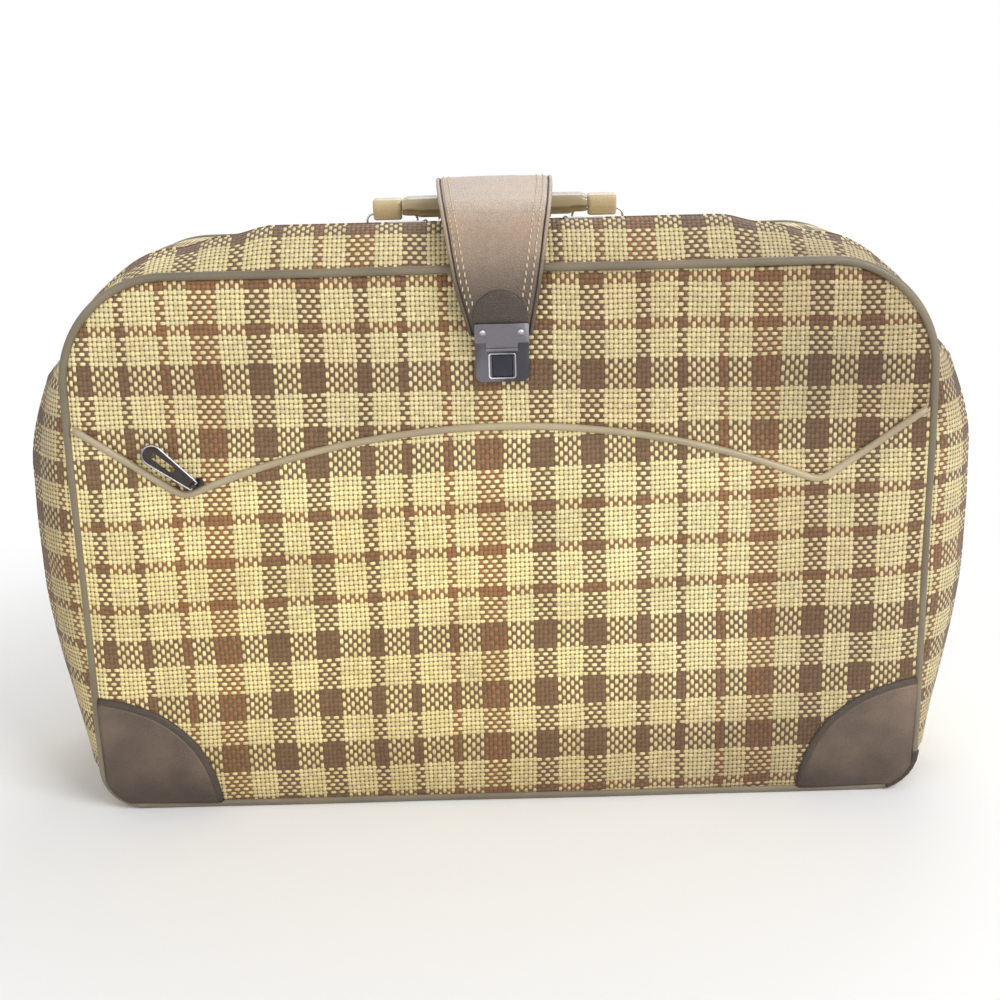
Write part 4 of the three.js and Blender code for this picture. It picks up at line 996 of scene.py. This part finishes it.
# Corner patches
def patch_sheet(side, front):
    """One round corner patch, from the rounded corner of the panel to its arc"""
    s = sizes()
    radius = s.patch_radius
    inset = 0.0008
    centre_x, centre_z = s.half_width - 0.00305, s.bottom + 0.00305
    arc_x, arc_z = s.half_width - s.bottom_corner, s.bottom + s.bottom_corner
    arc_radius = s.bottom_corner - inset

    def place(across, along):
        angle = math.pi / 2 * (-0.02 + 1.04 * along)
        away_x, away_z = -math.cos(angle), math.sin(angle)
        to_x, to_z = arc_x - centre_x, arc_z - centre_z
        ahead = to_x * away_x + to_z * away_z
        spread = to_x * to_x + to_z * to_z - arc_radius * arc_radius
        near = ahead - math.sqrt(max(ahead * ahead - spread, 0))
        reach = near + (radius - near) * across
        x = min(centre_x + away_x * reach, s.half_width - inset)
        z = max(centre_z + away_z * reach, s.bottom + inset)
        dome = smooth(0.0, 0.3, across) * smooth(0.0, 0.012, radius - reach)
        rim = 1 - smooth(0.0, 0.14, across)
        if front:
            edge = smooth(0.0, 0.002, radius - reach)
            y = pocket_depth(x * side, z) - 0.0007 - 0.0009 * edge - 0.0006 * dome - 0.0012 * rim
        else:
            y = back_depth(x * side, z) + 0.0014 + 0.0003 * dome + 0.0006 * rim
        return Vector((x * side, y, z)), (reach, angle * radius)

    mesh = new_sheet(26, 34, place)
    face_away(mesh)
    return mesh


class SUITCASE_OT_patches(bpy.types.Operator):
    """Make the four vinyl corner patches"""

    bl_idname = "suitcase.patches"
    bl_label = "Corner patches"

    def execute(self, context):
        for side, word in ((-1, "left"), (1, "right")):
            for front, name, body, node in (
                (True, "front", "lid", "corner_patch"), (False, "back", "rear_half", "back_corner_patch"),
            ):
                make_piece(
                    f"{name}_patch_{word}", patch_sheet(side, front), "patch_vinyl", body, [f"{node}_{word}"],
                    0.0011,
                )
        return {"FINISHED"}


# Zips
def zip_half(side):
    """One half of the main zip: a folded tape and its row of teeth, up one side, over and down the other"""
    s = sizes()
    last = 2.877
    places = edge_places(-last, last)
    near = s.zip_place + side * 0.00015
    profile = [(-0.0034, 0.0022), (-0.0051, 0.0024), (-0.0052, 0.0045), (-0.0052, 0.0133)]

    def place(across, along):
        p = pick(places, along)
        drop, shift = pick(profile, across)
        y = near + side * shift
        lift = bulge(p, s.zip_place) if shift < 0.003 else bulge(p, y)
        x, z, nx, nz, run = edge_at(p)
        return Vector((x + nx * (lift + drop), y, z + nz * (lift + drop))), (run, shift)

    mesh = new_sheet(3, len(places) - 1, place)
    face_away(mesh)
    steps = 460
    for i in range(steps):
        p = -last + 2 * last * (i + 0.5) / steps
        x, z, nx, nz, run = edge_at(p)
        out = bulge(p, s.zip_place) - 0.0042
        turn = Matrix(((nz, 0, nx), (0, 1, 0), (-nx, 0, nz))).to_4x4()
        spot = (x + nx * out, near + side * 0.00095, z + nz * out)
        add_tooth(mesh, spot, turn, (0.0012, 0.0019, 0.0019))
    return mesh


class SUITCASE_OT_zips(bpy.types.Operator):
    """Make both halves of the main zip and the pocket's zip, and dress their sliders and pulls"""

    bl_idname = "suitcase.zips"
    bl_label = "Zips"

    def execute(self, context):
        s = sizes()
        for side, word, body in ((-1, "lid", "lid"), (1, "rear", "rear_half")):
            make_piece(
                f"{word}_zip_teeth", zip_half(side), ["zip_tape_cloth", "gunmetal_plate"], body,
                [f"{word}_zip_half"], 0.0006,
            )
        arc_radius = POCKET_ARC_RADIUS + 0.0026 + 0.0025
        spread = math.asin(POCKET_ARC_HALF / POCKET_ARC_RADIUS) - 0.0095

        def place(across, along):
            angle = -spread + 2 * spread * along
            reach = arc_radius + (across - 0.5) * 0.005
            lift = 0.0007 * (1 - abs(2 * across - 1))
            return arc_spot(angle, reach, s.panel_front - 0.0004 - lift), (across * 0.005, angle * arc_radius)

        mesh = new_sheet(4, 90, place)
        face_away(mesh)
        for i in range(200):
            angle = -spread + 2 * spread * (i + 0.5) / 200
            spot = arc_spot(angle, arc_radius, s.panel_front - 0.0011)
            add_tooth(mesh, spot, Matrix.Rotation(angle, 4, "Y"), (0.0011, 0.0005, 0.003))
        make_piece(
            "pocket_zip_teeth", mesh, ["zip_tape_cloth", "gunmetal_plate"], "lid", ["pocket_zip_tape"]
        )
        self.placket()
        for word in ("left", "right"):
            dress_node(f"main_slider_{word}", "lock_metal", 0.0003)
            dress_node(f"main_pull_{word}", "nickel_plate", 0.00025)
        dress_node("pocket_slider", "gunmetal_plate", 0.0003)
        dress_node("pocket_pull", "gunmetal_plate", 0.0003)
        self.pull_rim()
        return {"FINISHED"}

    def pull_rim(self):
        """Raised wire round the teardrop pull, found from the outline of its plate"""
        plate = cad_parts["pocket_pull"]
        spots = [plate.matrix_world @ v.co for v in plate.data.vertices]
        front = min(spot.y for spot in spots)
        flat = [spot for spot in spots if spot.y < front + 0.0001]
        middle = sum(flat, Vector()) / len(flat)
        hull = self.outline([(spot.x, spot.z) for spot in flat])
        inward = []
        for x, z in hull:
            away = Vector((x - middle.x, 0, z - middle.z))
            inward.append(Vector((x, front + 0.0001, z)) - away.normalized() * 0.0007)
        course = []
        for a, b in zip(inward, inward[1:] + inward[:1]):
            steps = max(round((b - a).length / 0.0015), 1)
            course += [a.lerp(b, k / steps) for k in range(steps)]
        make_piece("pull_wire", tube(course, 0.0006, True, 10), "hasp_metal", "pocket_zip_pull", ())

    def outline(self, points):
        """Convex outline of flat points, in order round it"""
        ordered = sorted(set((round(x, 6), round(z, 6)) for x, z in points))

        def half(run):
            chain = []
            for x, z in run:
                while len(chain) > 1:
                    (ax, az), (bx, bz) = chain[-2:]
                    if (bx - ax) * (z - az) - (bz - az) * (x - ax) > 0:
                        break
                    chain.pop()
                chain.append((x, z))
            return chain

        return half(ordered)[:-1] + half(reversed(ordered))[:-1]

    def placket(self):
        """Strip of the panel's cloth that covers the pocket's zip down to its piping"""
        spread = math.asin(POCKET_ARC_HALF / POCKET_ARC_RADIUS)

        def place(across, along):
            angle = -spread + 2 * spread * along
            spot = arc_spot(angle, 0.5278 + 0.0105 * across, -0.09264 + 0.0018 * smooth(0.62, 1.0, across))
            return spot, upper_pattern(spot.x, spot.z)

        mesh = new_sheet(12, 110, place)
        face_away(mesh)
        make_piece("pocket_zip_placket", mesh, "plaid_cloth", "lid", (), 0.0001)


# Strap
def bezier(points, t):
    u = 1 - t
    shares = (u**3, 3 * u * u * t, 3 * u * t * t, t**3)
    return tuple(sum(share * point[axis] for share, point in zip(shares, points)) for axis in (0, 1))


STRAP_COURSE = (
    ((96.5, 378), (77.88, 394.96), (63.25, 410), (30, 410)),
    ((30, 410), (-5.1, 410), (-34.8, 406.66), (-60, 403.925)),
    ((-60, 403.925), (-96.94, 396.18), (-109.54, 374.48), (-96.94, 326.45)),
)
STRAP_WIDTHS = [
    (0, 40), (0.27, 40), (0.4, 39), (0.5, 37.7), (0.614, 36.1), (0.7, 34.1), (0.8, 30.5), (0.877, 27.2),
    (0.923, 24.5), (0.976, 21.4), (1, 20),
]
STRAP_SHIFTS = [(0, 0), (0.87, 0.1), (1, 1.5)]
STITCH_ROWS = ((-1, 0.0049), (-1, 0.0083), (1, 0.0061), (1, 0.0104))
STITCH_PITCH, STITCH_HALF_LENGTH, STITCH_RADIUS = 0.0044, 0.00155, 0.0004
CAP_REACH, CAP_RADIUS = 0.0135, 0.0173
FRONT_START = -0.06


def strap_stations():
    """Points of the strap's middle line with its direction, run, half width and sideways shift"""
    course = [bezier(STRAP_COURSE[0], 0)]
    for part, steps in zip(STRAP_COURSE, (26, 30, 46)):
        course += [bezier(part, (i + 1) / steps) for i in range(steps)]
    course = [(y * MM, z * MM) for y, z in course]
    runs = lengths_along(course)[:-1]
    total = runs[-1]
    stations = []
    for i, (y, z) in enumerate(course):
        before, after = course[max(i - 1, 0)], course[min(i + 1, len(course) - 1)]
        along = Vector((0, after[0] - before[0], after[1] - before[1])).normalized()
        half = blend_rows(STRAP_WIDTHS, runs[i] / total, share_of) * MM
        shift = blend_rows(STRAP_SHIFTS, runs[i] / total, share_of) * MM
        stations.append((Vector((0, y, z)), along, runs[i], half, shift))
    return stations


def strap_out(point, along):
    """Direction out of the strap's face"""
    out = Vector((0, -along.z, along.y))
    turned = out.z < 0 if point.y > FRONT_START else out.y > 0
    return -out if turned else out


def strap_at(stations, distance):
    """Point, direction, half width and shift of the strap at a distance along it"""
    i = max(k for k, station in enumerate(stations) if station[2] <= distance + 1e-9)
    i = min(i, len(stations) - 2)
    (point, along, run, half, shift), after = stations[i], stations[i + 1]
    t = (distance - run) / (after[2] - run)
    mixed = [a * (1 - t) + b * t for a, b in ((half, after[3]), (shift, after[4]))]
    return point.lerp(after[0], t), along.lerp(after[1], t).normalized(), *mixed


def strap_mesh():
    """The whole strap: a padded face between beaded edges over a flat back, and four rows of stitches"""
    stations = strap_stations()
    sections, runs = [], []
    edge_rows = [(0, 0.2), (0.4, 1.1), (1.2, 1.6), (2.1, 1.3), (2.5, 0.5), (2.9, 0.5), (3.3, 1.2), (6.5, 1.4)]
    inner = [(-0.5, 1.8), (-0.2, 2), (0.2, 2), (0.5, 1.8)]
    for point, along, run, half, shift in stations:
        out = strap_out(point, along)
        face_row = [(d * MM - half, rise) for d, rise in edge_rows]
        face_row += [(share * half, rise) for share, rise in inner]
        face_row += [(half - d * MM, rise) for d, rise in reversed(edge_rows)]
        loop = [point + Vector((x + shift, 0, 0)) + out * rise * MM for x, rise in face_row]
        for x, rise in reversed(face_row):
            loop.append(point + Vector((x + shift, 0, 0)) - out * min(rise, 1.5) * MM)
        sections.append(loop)
        runs.append(run)
    mesh = loft(sections, runs)
    girth = lengths_along(sections[0])
    last = len(edge_rows) * 2 + len(inner) - 1
    # The grooves beside the beads take the dark edge vinyl as painted shade in those creases; the side faces of the
    # strap take it too.
    dark_spans = [(girth[3], girth[6]), (girth[last - 6], girth[last - 3])]
    dark_spans += [(girth[last], girth[last + 1]), (girth[-2], girth[-1])]
    pattern = mesh.loops.layers.uv.verify()
    for face in mesh.faces:
        place = sum(loop[pattern].uv.x for loop in face.loops) / len(face.loops)
        if any(low < place < high for low, high in dark_spans):
            face.material_index = 2
    total = runs[-1]
    for side, inset in STITCH_ROWS:
        distance = 0.012
        while distance < total - 0.008:
            point, along, half, shift = strap_at(stations, distance)
            beside = half - inset
            if total - distance < CAP_REACH + math.sqrt(max(CAP_RADIUS**2 - beside * beside, 0)):
                break
            out = strap_out(point, along)
            turn = Matrix((Vector((1, 0, 0)), along, out)).transposed().to_4x4()
            spot = point + Vector((side * beside + shift, 0, 0)) + out * 0.0019
            size = Matrix.Diagonal((STITCH_RADIUS, STITCH_HALF_LENGTH, STITCH_RADIUS, 1))
            spot = Matrix.Translation(spot) @ turn @ size @ Matrix.Rotation(QUARTER, 4, "X")
            add_part(mesh, spot, bmesh.ops.create_uvsphere, u_segments=8, v_segments=5, radius=1)
            distance += STITCH_PITCH
    return mesh


class SUITCASE_OT_strap(bpy.types.Operator):
    """Make the stitched strap, its end patch, its anchor and the riveted hasp"""

    bl_idname = "suitcase.strap"
    bl_label = "Strap"

    def execute(self, context):
        strap = make_piece("strap_leather", strap_mesh(), ["strap_vinyl", "thread", "edge_vinyl"], None)
        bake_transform(strap)
        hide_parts("strap_back", "strap_front")
        stations = strap_stations()

        def place(across, along):
            angle = math.pi * across
            x = -0.017 * math.cos(angle)
            rise = (0.0125 + 0.017 * math.sin(angle)) * along
            return self.on_strap(stations, 0.0013 + x, rise), (x, rise)

        mesh = new_sheet(40, 16, place)
        weld(mesh, 1e-5)
        face_away(mesh, Vector((0, 0, 0.33)))
        make_piece("strap_end_cap", mesh, "strap_cap_vinyl", "strap_front", ["strap_end_patch"], 0.0009)
        self.anchor()
        dress_node("strap_bar", "nickel_plate")
        dress_node("hasp_plate", "hasp_metal", 0.0004)
        for word in ("left", "right"):
            dress_node(f"anchor_rivet_{word}", "nickel_plate", 0.0002)
            dress_node(f"hasp_rivet_{word}", "rim_metal", 0.0002)
        return {"FINISHED"}

    def on_strap(self, stations, x, rise):
        """A point on the strap's outer face, a distance up from its end"""
        point, along, _, _ = strap_at(stations, stations[-1][2] - rise)
        return point + Vector((x, 0, 0)) + strap_out(point, along) * 0.0029

    def anchor(self):
        middle, height = 0.0965, 0.378
        course = [(0.0921, 0.3258), (0.0921, 0.3475), (0.0921, 0.353)]
        course += [(0.0955, 0.3612), (0.0968, 0.3655), (0.0972, 0.3705)]

        def place(across, along):
            y, z = pick(course, along)
            x = -0.0395 + 0.079 * across
            return Vector((x, y + 0.0008, z)), (x, z)

        mesh = new_sheet(12, len(course) - 1, place)
        face_away(mesh, Vector((0, 0, 0.36)))
        make_piece(
            "strap_anchor_tab", mesh, "strap_vinyl", "rear_half", ["strap_anchor"], 0.0016, 0.0, 1
        )
        for side in (-1, 1):
            ends = [
                [(side * x, middle + 0.0042 * math.cos(a), height + 0.0042 * math.sin(a))
                 for a in [k / 20 * 2 * math.pi for k in range(20)]]
                for x in (0.0281, 0.0285, 0.034, 0.0391, 0.0395)
            ]
            loop = loft(ends, [0, 0.0004, 0.006, 0.011, 0.0114])
            word = "left" if side < 0 else "right"
            make_piece(f"anchor_loop_{word}", loop, "strap_vinyl", "rear_half", (), 0.0, 0.0004)
        mesh = tube([Vector((x, middle, height)) for x in (-0.0272, -0.02, 0, 0.02, 0.0272)], 0.0042, False, 22)
        make_piece("strap_loop_roll", mesh, "strap_vinyl", "strap_back", (), 0.0, 0.0004)


class SUITCASE_OT_lock(bpy.types.Operator):
    """Dress the press lock and its button"""

    bl_idname = "suitcase.lock"
    bl_label = "Lock"

    def execute(self, context):
        dress_node("lock_case", "lock_metal", 0.0004)
        dress_node("lock_button", "button_enamel", 0.0006)
        low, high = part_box("lock_button")
        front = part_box("lock_case")[0].y
        points = []
        for cx, cz, cosine, sine, _ in rounded_corners(6):
            x = (low.x + high.x) / 2 + cx * 0.0067 + 0.0016 * cosine
            z = (low.z + high.z) / 2 + cz * 0.0063 + 0.0016 * sine
            points.append(Vector((x, front + 0.0002, z)))
        make_piece("window_rim", tube(points, 0.00055, True, 10), "rim_metal", "lid", ())
        return {"FINISHED"}


# Handle
def rounded_loop(half_y, low, high, corner, x, lean=0.0):
    """A rounded box section across the handle, narrower at its foot by lean"""
    points = []
    for cy, cz, cosine, sine, last in rounded_corners(6):
        wide = half_y - (lean if cz < 0 else 0)
        y = cy * (wide - corner) + corner * cosine
        z = (high - corner if cz > 0 else low + corner) + corner * sine
        points.append((x, HANDLE_DEPTH + y, z))
        if last and cz != cy:
            points.append((x, HANDLE_DEPTH + cy * half_y, low + 0.45 * (high - low)))
    return points


class SUITCASE_OT_handle(bpy.types.Operator):
    """Make the padded grip, its glossy end tabs, the twin wire rings and their loops"""

    bl_idname = "suitcase.handle"
    bl_label = "Handle"

    def execute(self, context):
        low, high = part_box("handle_grip")
        ring_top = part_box("handle_ring_left")[1].z
        last = high.x - 0.0002
        sections, runs = [], []
        for i in range(57):
            x = last * math.sin(math.pi / 2 * (i - 28) / 28)
            end = smooth(0.0, 0.004, last - abs(x))
            swell = 0.0004 * math.cos(x / last * math.pi / 2)
            lifted = smooth(last - 0.0125, last - 0.0092, abs(x))
            foot = low.z + 0.0003 + (ring_top + 0.0006 - low.z) * lifted * 0.25
            half, drop = 0.0112 + 0.0006 * end + swell, 0.0012 * (1 - end)
            sections.append(rounded_loop(half, foot + drop * 0.3, high.z - 0.0005 - drop + swell, 0.0034, x, 0.006))
            runs.append(x)
        grip = make_piece(
            "grip_pad", loft(sections, runs), "handle_vinyl", "handle", ["handle_grip"], 0.0, 0.0006
        )
        low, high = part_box("handle_tab_right")
        for side, word in ((-1, "left"), (1, "right")):
            sections, runs = [], []
            for i in range(15):
                x = low.x + 0.0002 + (high.x - low.x - 0.0004) * (0.5 - 0.5 * math.cos(math.pi * i / 14))
                end = smooth(0.0, 0.0016, min(x - low.x, high.x - x))
                tight = 0.0009 * (1 - end)
                foot, head = low.z + 0.0002 + tight, high.z - 0.0002 - tight
                sections.append(rounded_loop(0.008 - tight, foot, head, 0.0024, side * x, 0.0036))
                runs.append(x)
            make_piece(
                f"grip_tab_{word}", loft(sections, runs), "tab_vinyl", "handle", [f"handle_tab_{word}"]
            )
            self.ring(side, word)
            self.loop(word)
        return {"FINISHED"}

    def ring(self, side, word):
        low, high, near, far, corner = 0.37533, 0.38773, 0.0538, 0.0888, 0.0046
        outline = []
        for cx, cz, cosine, sine, _ in rounded_corners(8):
            x = (far - corner if cx > 0 else near + corner) + corner * cosine
            z = (high - corner if cz > 0 else low + corner) + corner * sine
            outline.append((side * x, z))
        mesh, second = (
            tube([Vector((x, HANDLE_DEPTH + shift, z)) for x, z in outline], 0.00072, True, 10)
            for shift in (-0.00075, 0.00075)
        )
        spare = bpy.data.meshes.new("wire")
        second.to_mesh(spare)
        second.free()
        mesh.from_mesh(spare)
        bpy.data.meshes.remove(spare)
        make_piece(f"ring_wires_{word}", mesh, "nickel_plate", "handle_rings", [f"handle_ring_{word}"])

    def loop(self, word):
        low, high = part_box(f"handle_chape_{word}")
        middle = (low + high) / 2

        def place(across, along):
            y = low.y + (high.y - low.y) * across
            off = (y - HANDLE_DEPTH) / 0.0033
            hump = max(1 - off * off, 0)
            z = low.z + 0.0009 + (high.z - low.z - 0.0009) * hump**0.6
            x = low.x + (high.x - low.x) * along
            return Vector((x, y, z)), (x, y)

        mesh = new_sheet(28, 8, place)
        face_away(mesh, middle - Vector((0, 0, 0.05)))
        make_piece(
            f"ring_loop_{word}", mesh, "handle_vinyl", "rear_half", [f"handle_chape_{word}"], 0.0009
        )


# Inside
class SUITCASE_OT_inside(bpy.types.Operator):
    """Make the linings, the gathered inner pocket and the hinge tapes, and dress the boards and hoops"""

    bl_idname = "suitcase.inside"
    bl_label = "Inside"

    def execute(self, context):
        s = sizes()
        inset = 0.009
        columns = panel_columns(inset)
        for node, face, body in (("lid_lining", -1, "lid"), ("rear_lining", 1, "rear_half")):
            low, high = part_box(node)

            def place(across, along):
                x = pick(columns, across)
                foot, head = corner_span(x, inset)
                z = foot + (head - foot) * along
                inner = high.y if face < 0 else low.y
                y = inner + face * 0.0002 * (1 + wrinkle((x, face, z), 12))
                return Vector((x, y, z)), (x, z)

            mesh = new_sheet(len(columns) - 1, 50, place)
            face_away(mesh, inward=True)
            make_piece(f"{node}_cloth", mesh, "lining_cloth", body, [node], 0.0004)
        places = edge_places()

        for name, body, stands_for, start, end, panel in (
            ("rear_wall_lining_cloth", "rear_half", ["rear_wall_lining"], -0.0508, 0.0828, "rear_lining"),
            ("lid_wall_lining_cloth", "lid", [], -0.0532, -0.0828, "lid_lining"),
        ):
            low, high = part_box(panel)
            flat = low.y - 0.0002 if end > 0 else high.y + 0.0002

            def wall(across, along):
                """Down the inside of the wall, then inward over the edge of the panel's lining"""
                p = pick(places, across)
                y = start + (end - start) * min(along / 0.86, 1)
                turned = smooth(0.86, 1.0, along)
                reach = bulge(p, y) - 0.0069 - 0.002 * smooth(0.0245, 0.0205, abs(y - s.zip_place))
                reach += (-0.0105 - reach) * turned
                y += (flat - y) * smooth(0.86, 0.93, along)
                x, z, nx, nz, run = edge_at(p)
                return Vector((x + nx * reach, y, z + nz * reach)), (run, y)

            mesh = new_sheet(len(places) - 1, 48, wall)
            weld(mesh)
            face_away(mesh, inward=True)
            make_piece(name, mesh, "lining_cloth", body, stands_for, 0.0004)
        low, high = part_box("inner_pocket")

        def gathered(across, along):
            x = low.x + (high.x - low.x) * across
            z = low.z + (high.z - low.z) * along
            fold = 0.5 + 0.5 * math.sin(across * math.pi * 46 + 2 * wrinkle((x, 0, z), 30))
            full = fold * smooth(0.2, 0.95, along) * 0.0022 + 0.0006 * (1 - along)
            return Vector((x, high.y - 0.0006 - full, z)), (x, z)

        mesh = new_sheet(184, 22, gathered)
        face_away(mesh, Vector((0, 0, 0.1)), inward=True)
        make_piece("gathered_pocket", mesh, "lining_cloth", "rear_half", ["inner_pocket"], 0.0005)
        for word, body in (("lid", "lid"), ("rear", "rear_half")):
            low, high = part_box(f"{word}_hinge_tape")

            def strip(across, along):
                x, y = low.x + (high.x - low.x) * across, low.y + (high.y - low.y) * along
                return Vector((x, y, high.z - 0.0001 * (1 + wrinkle((x, y, 0), 60)))), (x, y)

            mesh = new_sheet(120, 6, strip)
            face_away(mesh, Vector((0, -0.05, -0.1)))
            make_piece(
                f"{word}_hinge_tape_cloth", mesh, "lining_cloth", body, [f"{word}_hinge_tape"], 0.0006
            )
        for board, hoop in (("front_board", "lid_hoop"), ("back_board", "rear_hoop")):
            dress_node(board, "board_fibre")
            dress_node(hoop, "lining_cloth")
        return {"FINISHED"}


# Stage
class SUITCASE_OT_stage(bpy.types.Operator):
    """Set the floor, the soft lights and the camera"""

    bl_idname = "suitcase.stage"
    bl_label = "Stage"

    def execute(self, context):
        scene = context.scene
        self.floor_material()
        mesh = bmesh.new()
        bmesh.ops.create_grid(mesh, x_segments=4, y_segments=4, size=14)
        floor = make_piece("floor", mesh, "floor_white", None)
        f = Finish("studio", "worlds")
        path = f.add("ShaderNodeLightPath")
        seen = path.at_least(path.other("Is Glossy Ray")).at_least(path.other("Is Transmission Ray"))
        level = f.add("ShaderNodeMapRange", {}, {"Value": seen, "To Min": 0.56})
        sky = f.add("ShaderNodeBackground", {}, {"Color": (1, 1, 1, 1), "Strength": level})
        f.surface(sky, "ShaderNodeOutputWorld")
        scene.world = f.material
        self.light("key", (1.5, -1.6, 1.7), 1.4, 42)
        self.light("fill", (-1.2, -1.9, 1.1), 1.6, 9)
        self.light("rear", (0.4, 1.6, 1.6), 1.4, 14)
        self.camera(scene)
        scene.view_settings.view_transform = "Standard"
        return {"FINISHED"}

    def floor_material(self):
        """White floor that keeps the shadow near the case and runs out into the white background"""
        f = Finish("floor_white")
        x, y, _ = f.axes(f.object_place())
        away = (x * x + y * y).root()
        path = f.add("ShaderNodeLightPath")
        near = f.add("ShaderNodeBsdfDiffuse", {}, {"Color": linear((0.97, 0.97, 0.97))})
        far = f.add("ShaderNodeEmission", {}, {"Color": (1, 1, 1, 1), "Strength": 1.0})
        seen = away.eased(0.3, 0.75) * path
        f.surface(f.add("ShaderNodeMixShader", {}, [seen, near, far]), "ShaderNodeOutputMaterial")

    def light(self, name, place, size, power):
        data = bpy.data.lights.new(name, "AREA")
        data.size = size
        data.energy = power
        lamp = bpy.data.objects.new(name, data)
        lamp.location = place
        towards = Vector((0, 0, 0.2)) - Vector(place)
        lamp.rotation_euler = towards.to_track_quat("-Z", "Y").to_euler()
        bpy.context.scene.collection.objects.link(lamp)

    def camera(self, scene):
        pitch, yaw, roll = math.radians(17), math.radians(0.09), math.radians(-1.45)
        place, focal_pixels, frame_pixels = (-0.0032, -1.0807, 0.51855), 1589, 1000
        ahead = Vector((math.sin(yaw) * math.cos(pitch), math.cos(yaw) * math.cos(pitch), -math.sin(pitch)))
        right = ahead.cross(Vector((0, 0, 1))).normalized()
        up = right.cross(ahead)
        level = right * math.cos(roll) + up * math.sin(roll)
        upright = up * math.cos(roll) - right * math.sin(roll)
        data = bpy.data.cameras.new("camera")
        data.sensor_width = 36
        data.lens = data.sensor_width * focal_pixels / frame_pixels
        data.clip_end = 60
        camera = bpy.data.objects.new("camera", data)
        turn = Matrix((level, upright, -ahead)).transposed().to_4x4()
        camera.matrix_world = Matrix.Translation(place) @ turn
        scene.collection.objects.link(camera)
        scene.camera = camera


class SUITCASE_PT_panel(bpy.types.Panel):
    """Steps and sizes of the suitcase"""

    bl_label = "Suitcase"
    bl_idname = "SUITCASE_PT_panel"
    bl_space_type = "VIEW_3D"
    bl_region_type = "UI"
    bl_category = "Suitcase"

    def draw(self, context):
        for step in STEPS:
            self.layout.operator(step.bl_idname)
        for group in (sizes(), weave(), colours()):
            for name in group.bl_rna.properties.keys():
                if name not in ("rna_type", "name"):
                    self.layout.prop(group, name)


STEPS = (
    SUITCASE_OT_materials, SUITCASE_OT_walls, SUITCASE_OT_panels, SUITCASE_OT_piping, SUITCASE_OT_patches,
    SUITCASE_OT_zips, SUITCASE_OT_strap, SUITCASE_OT_lock, SUITCASE_OT_handle, SUITCASE_OT_inside,
    SUITCASE_OT_stage,
)
GROUPS = {"suitcase_sizes": CaseSizes, "suitcase_weave": WeaveSizes, "suitcase_colours": Colours}
CLASSES = (CaseSizes, WeaveSizes, Colours, *STEPS, SUITCASE_PT_panel)


def register():
    for one in CLASSES:
        bpy.utils.register_class(one)
    for name, group in GROUPS.items():
        setattr(bpy.types.Scene, name, PointerProperty(type=group))


def unregister():
    for name in GROUPS:
        delattr(bpy.types.Scene, name)
    for one in reversed(CLASSES):
        bpy.utils.unregister_class(one)


def main():
    register()
    bpy.ops.suitcase.materials()
    bpy.ops.suitcase.walls()
    bpy.ops.suitcase.panels()
    bpy.ops.suitcase.piping()
    bpy.ops.suitcase.patches()
    bpy.ops.suitcase.zips()
    bpy.ops.suitcase.strap()
    bpy.ops.suitcase.lock()
    bpy.ops.suitcase.handle()
    bpy.ops.suitcase.inside()
    bpy.ops.suitcase.stage()


if __name__ == "__main__":
    main()
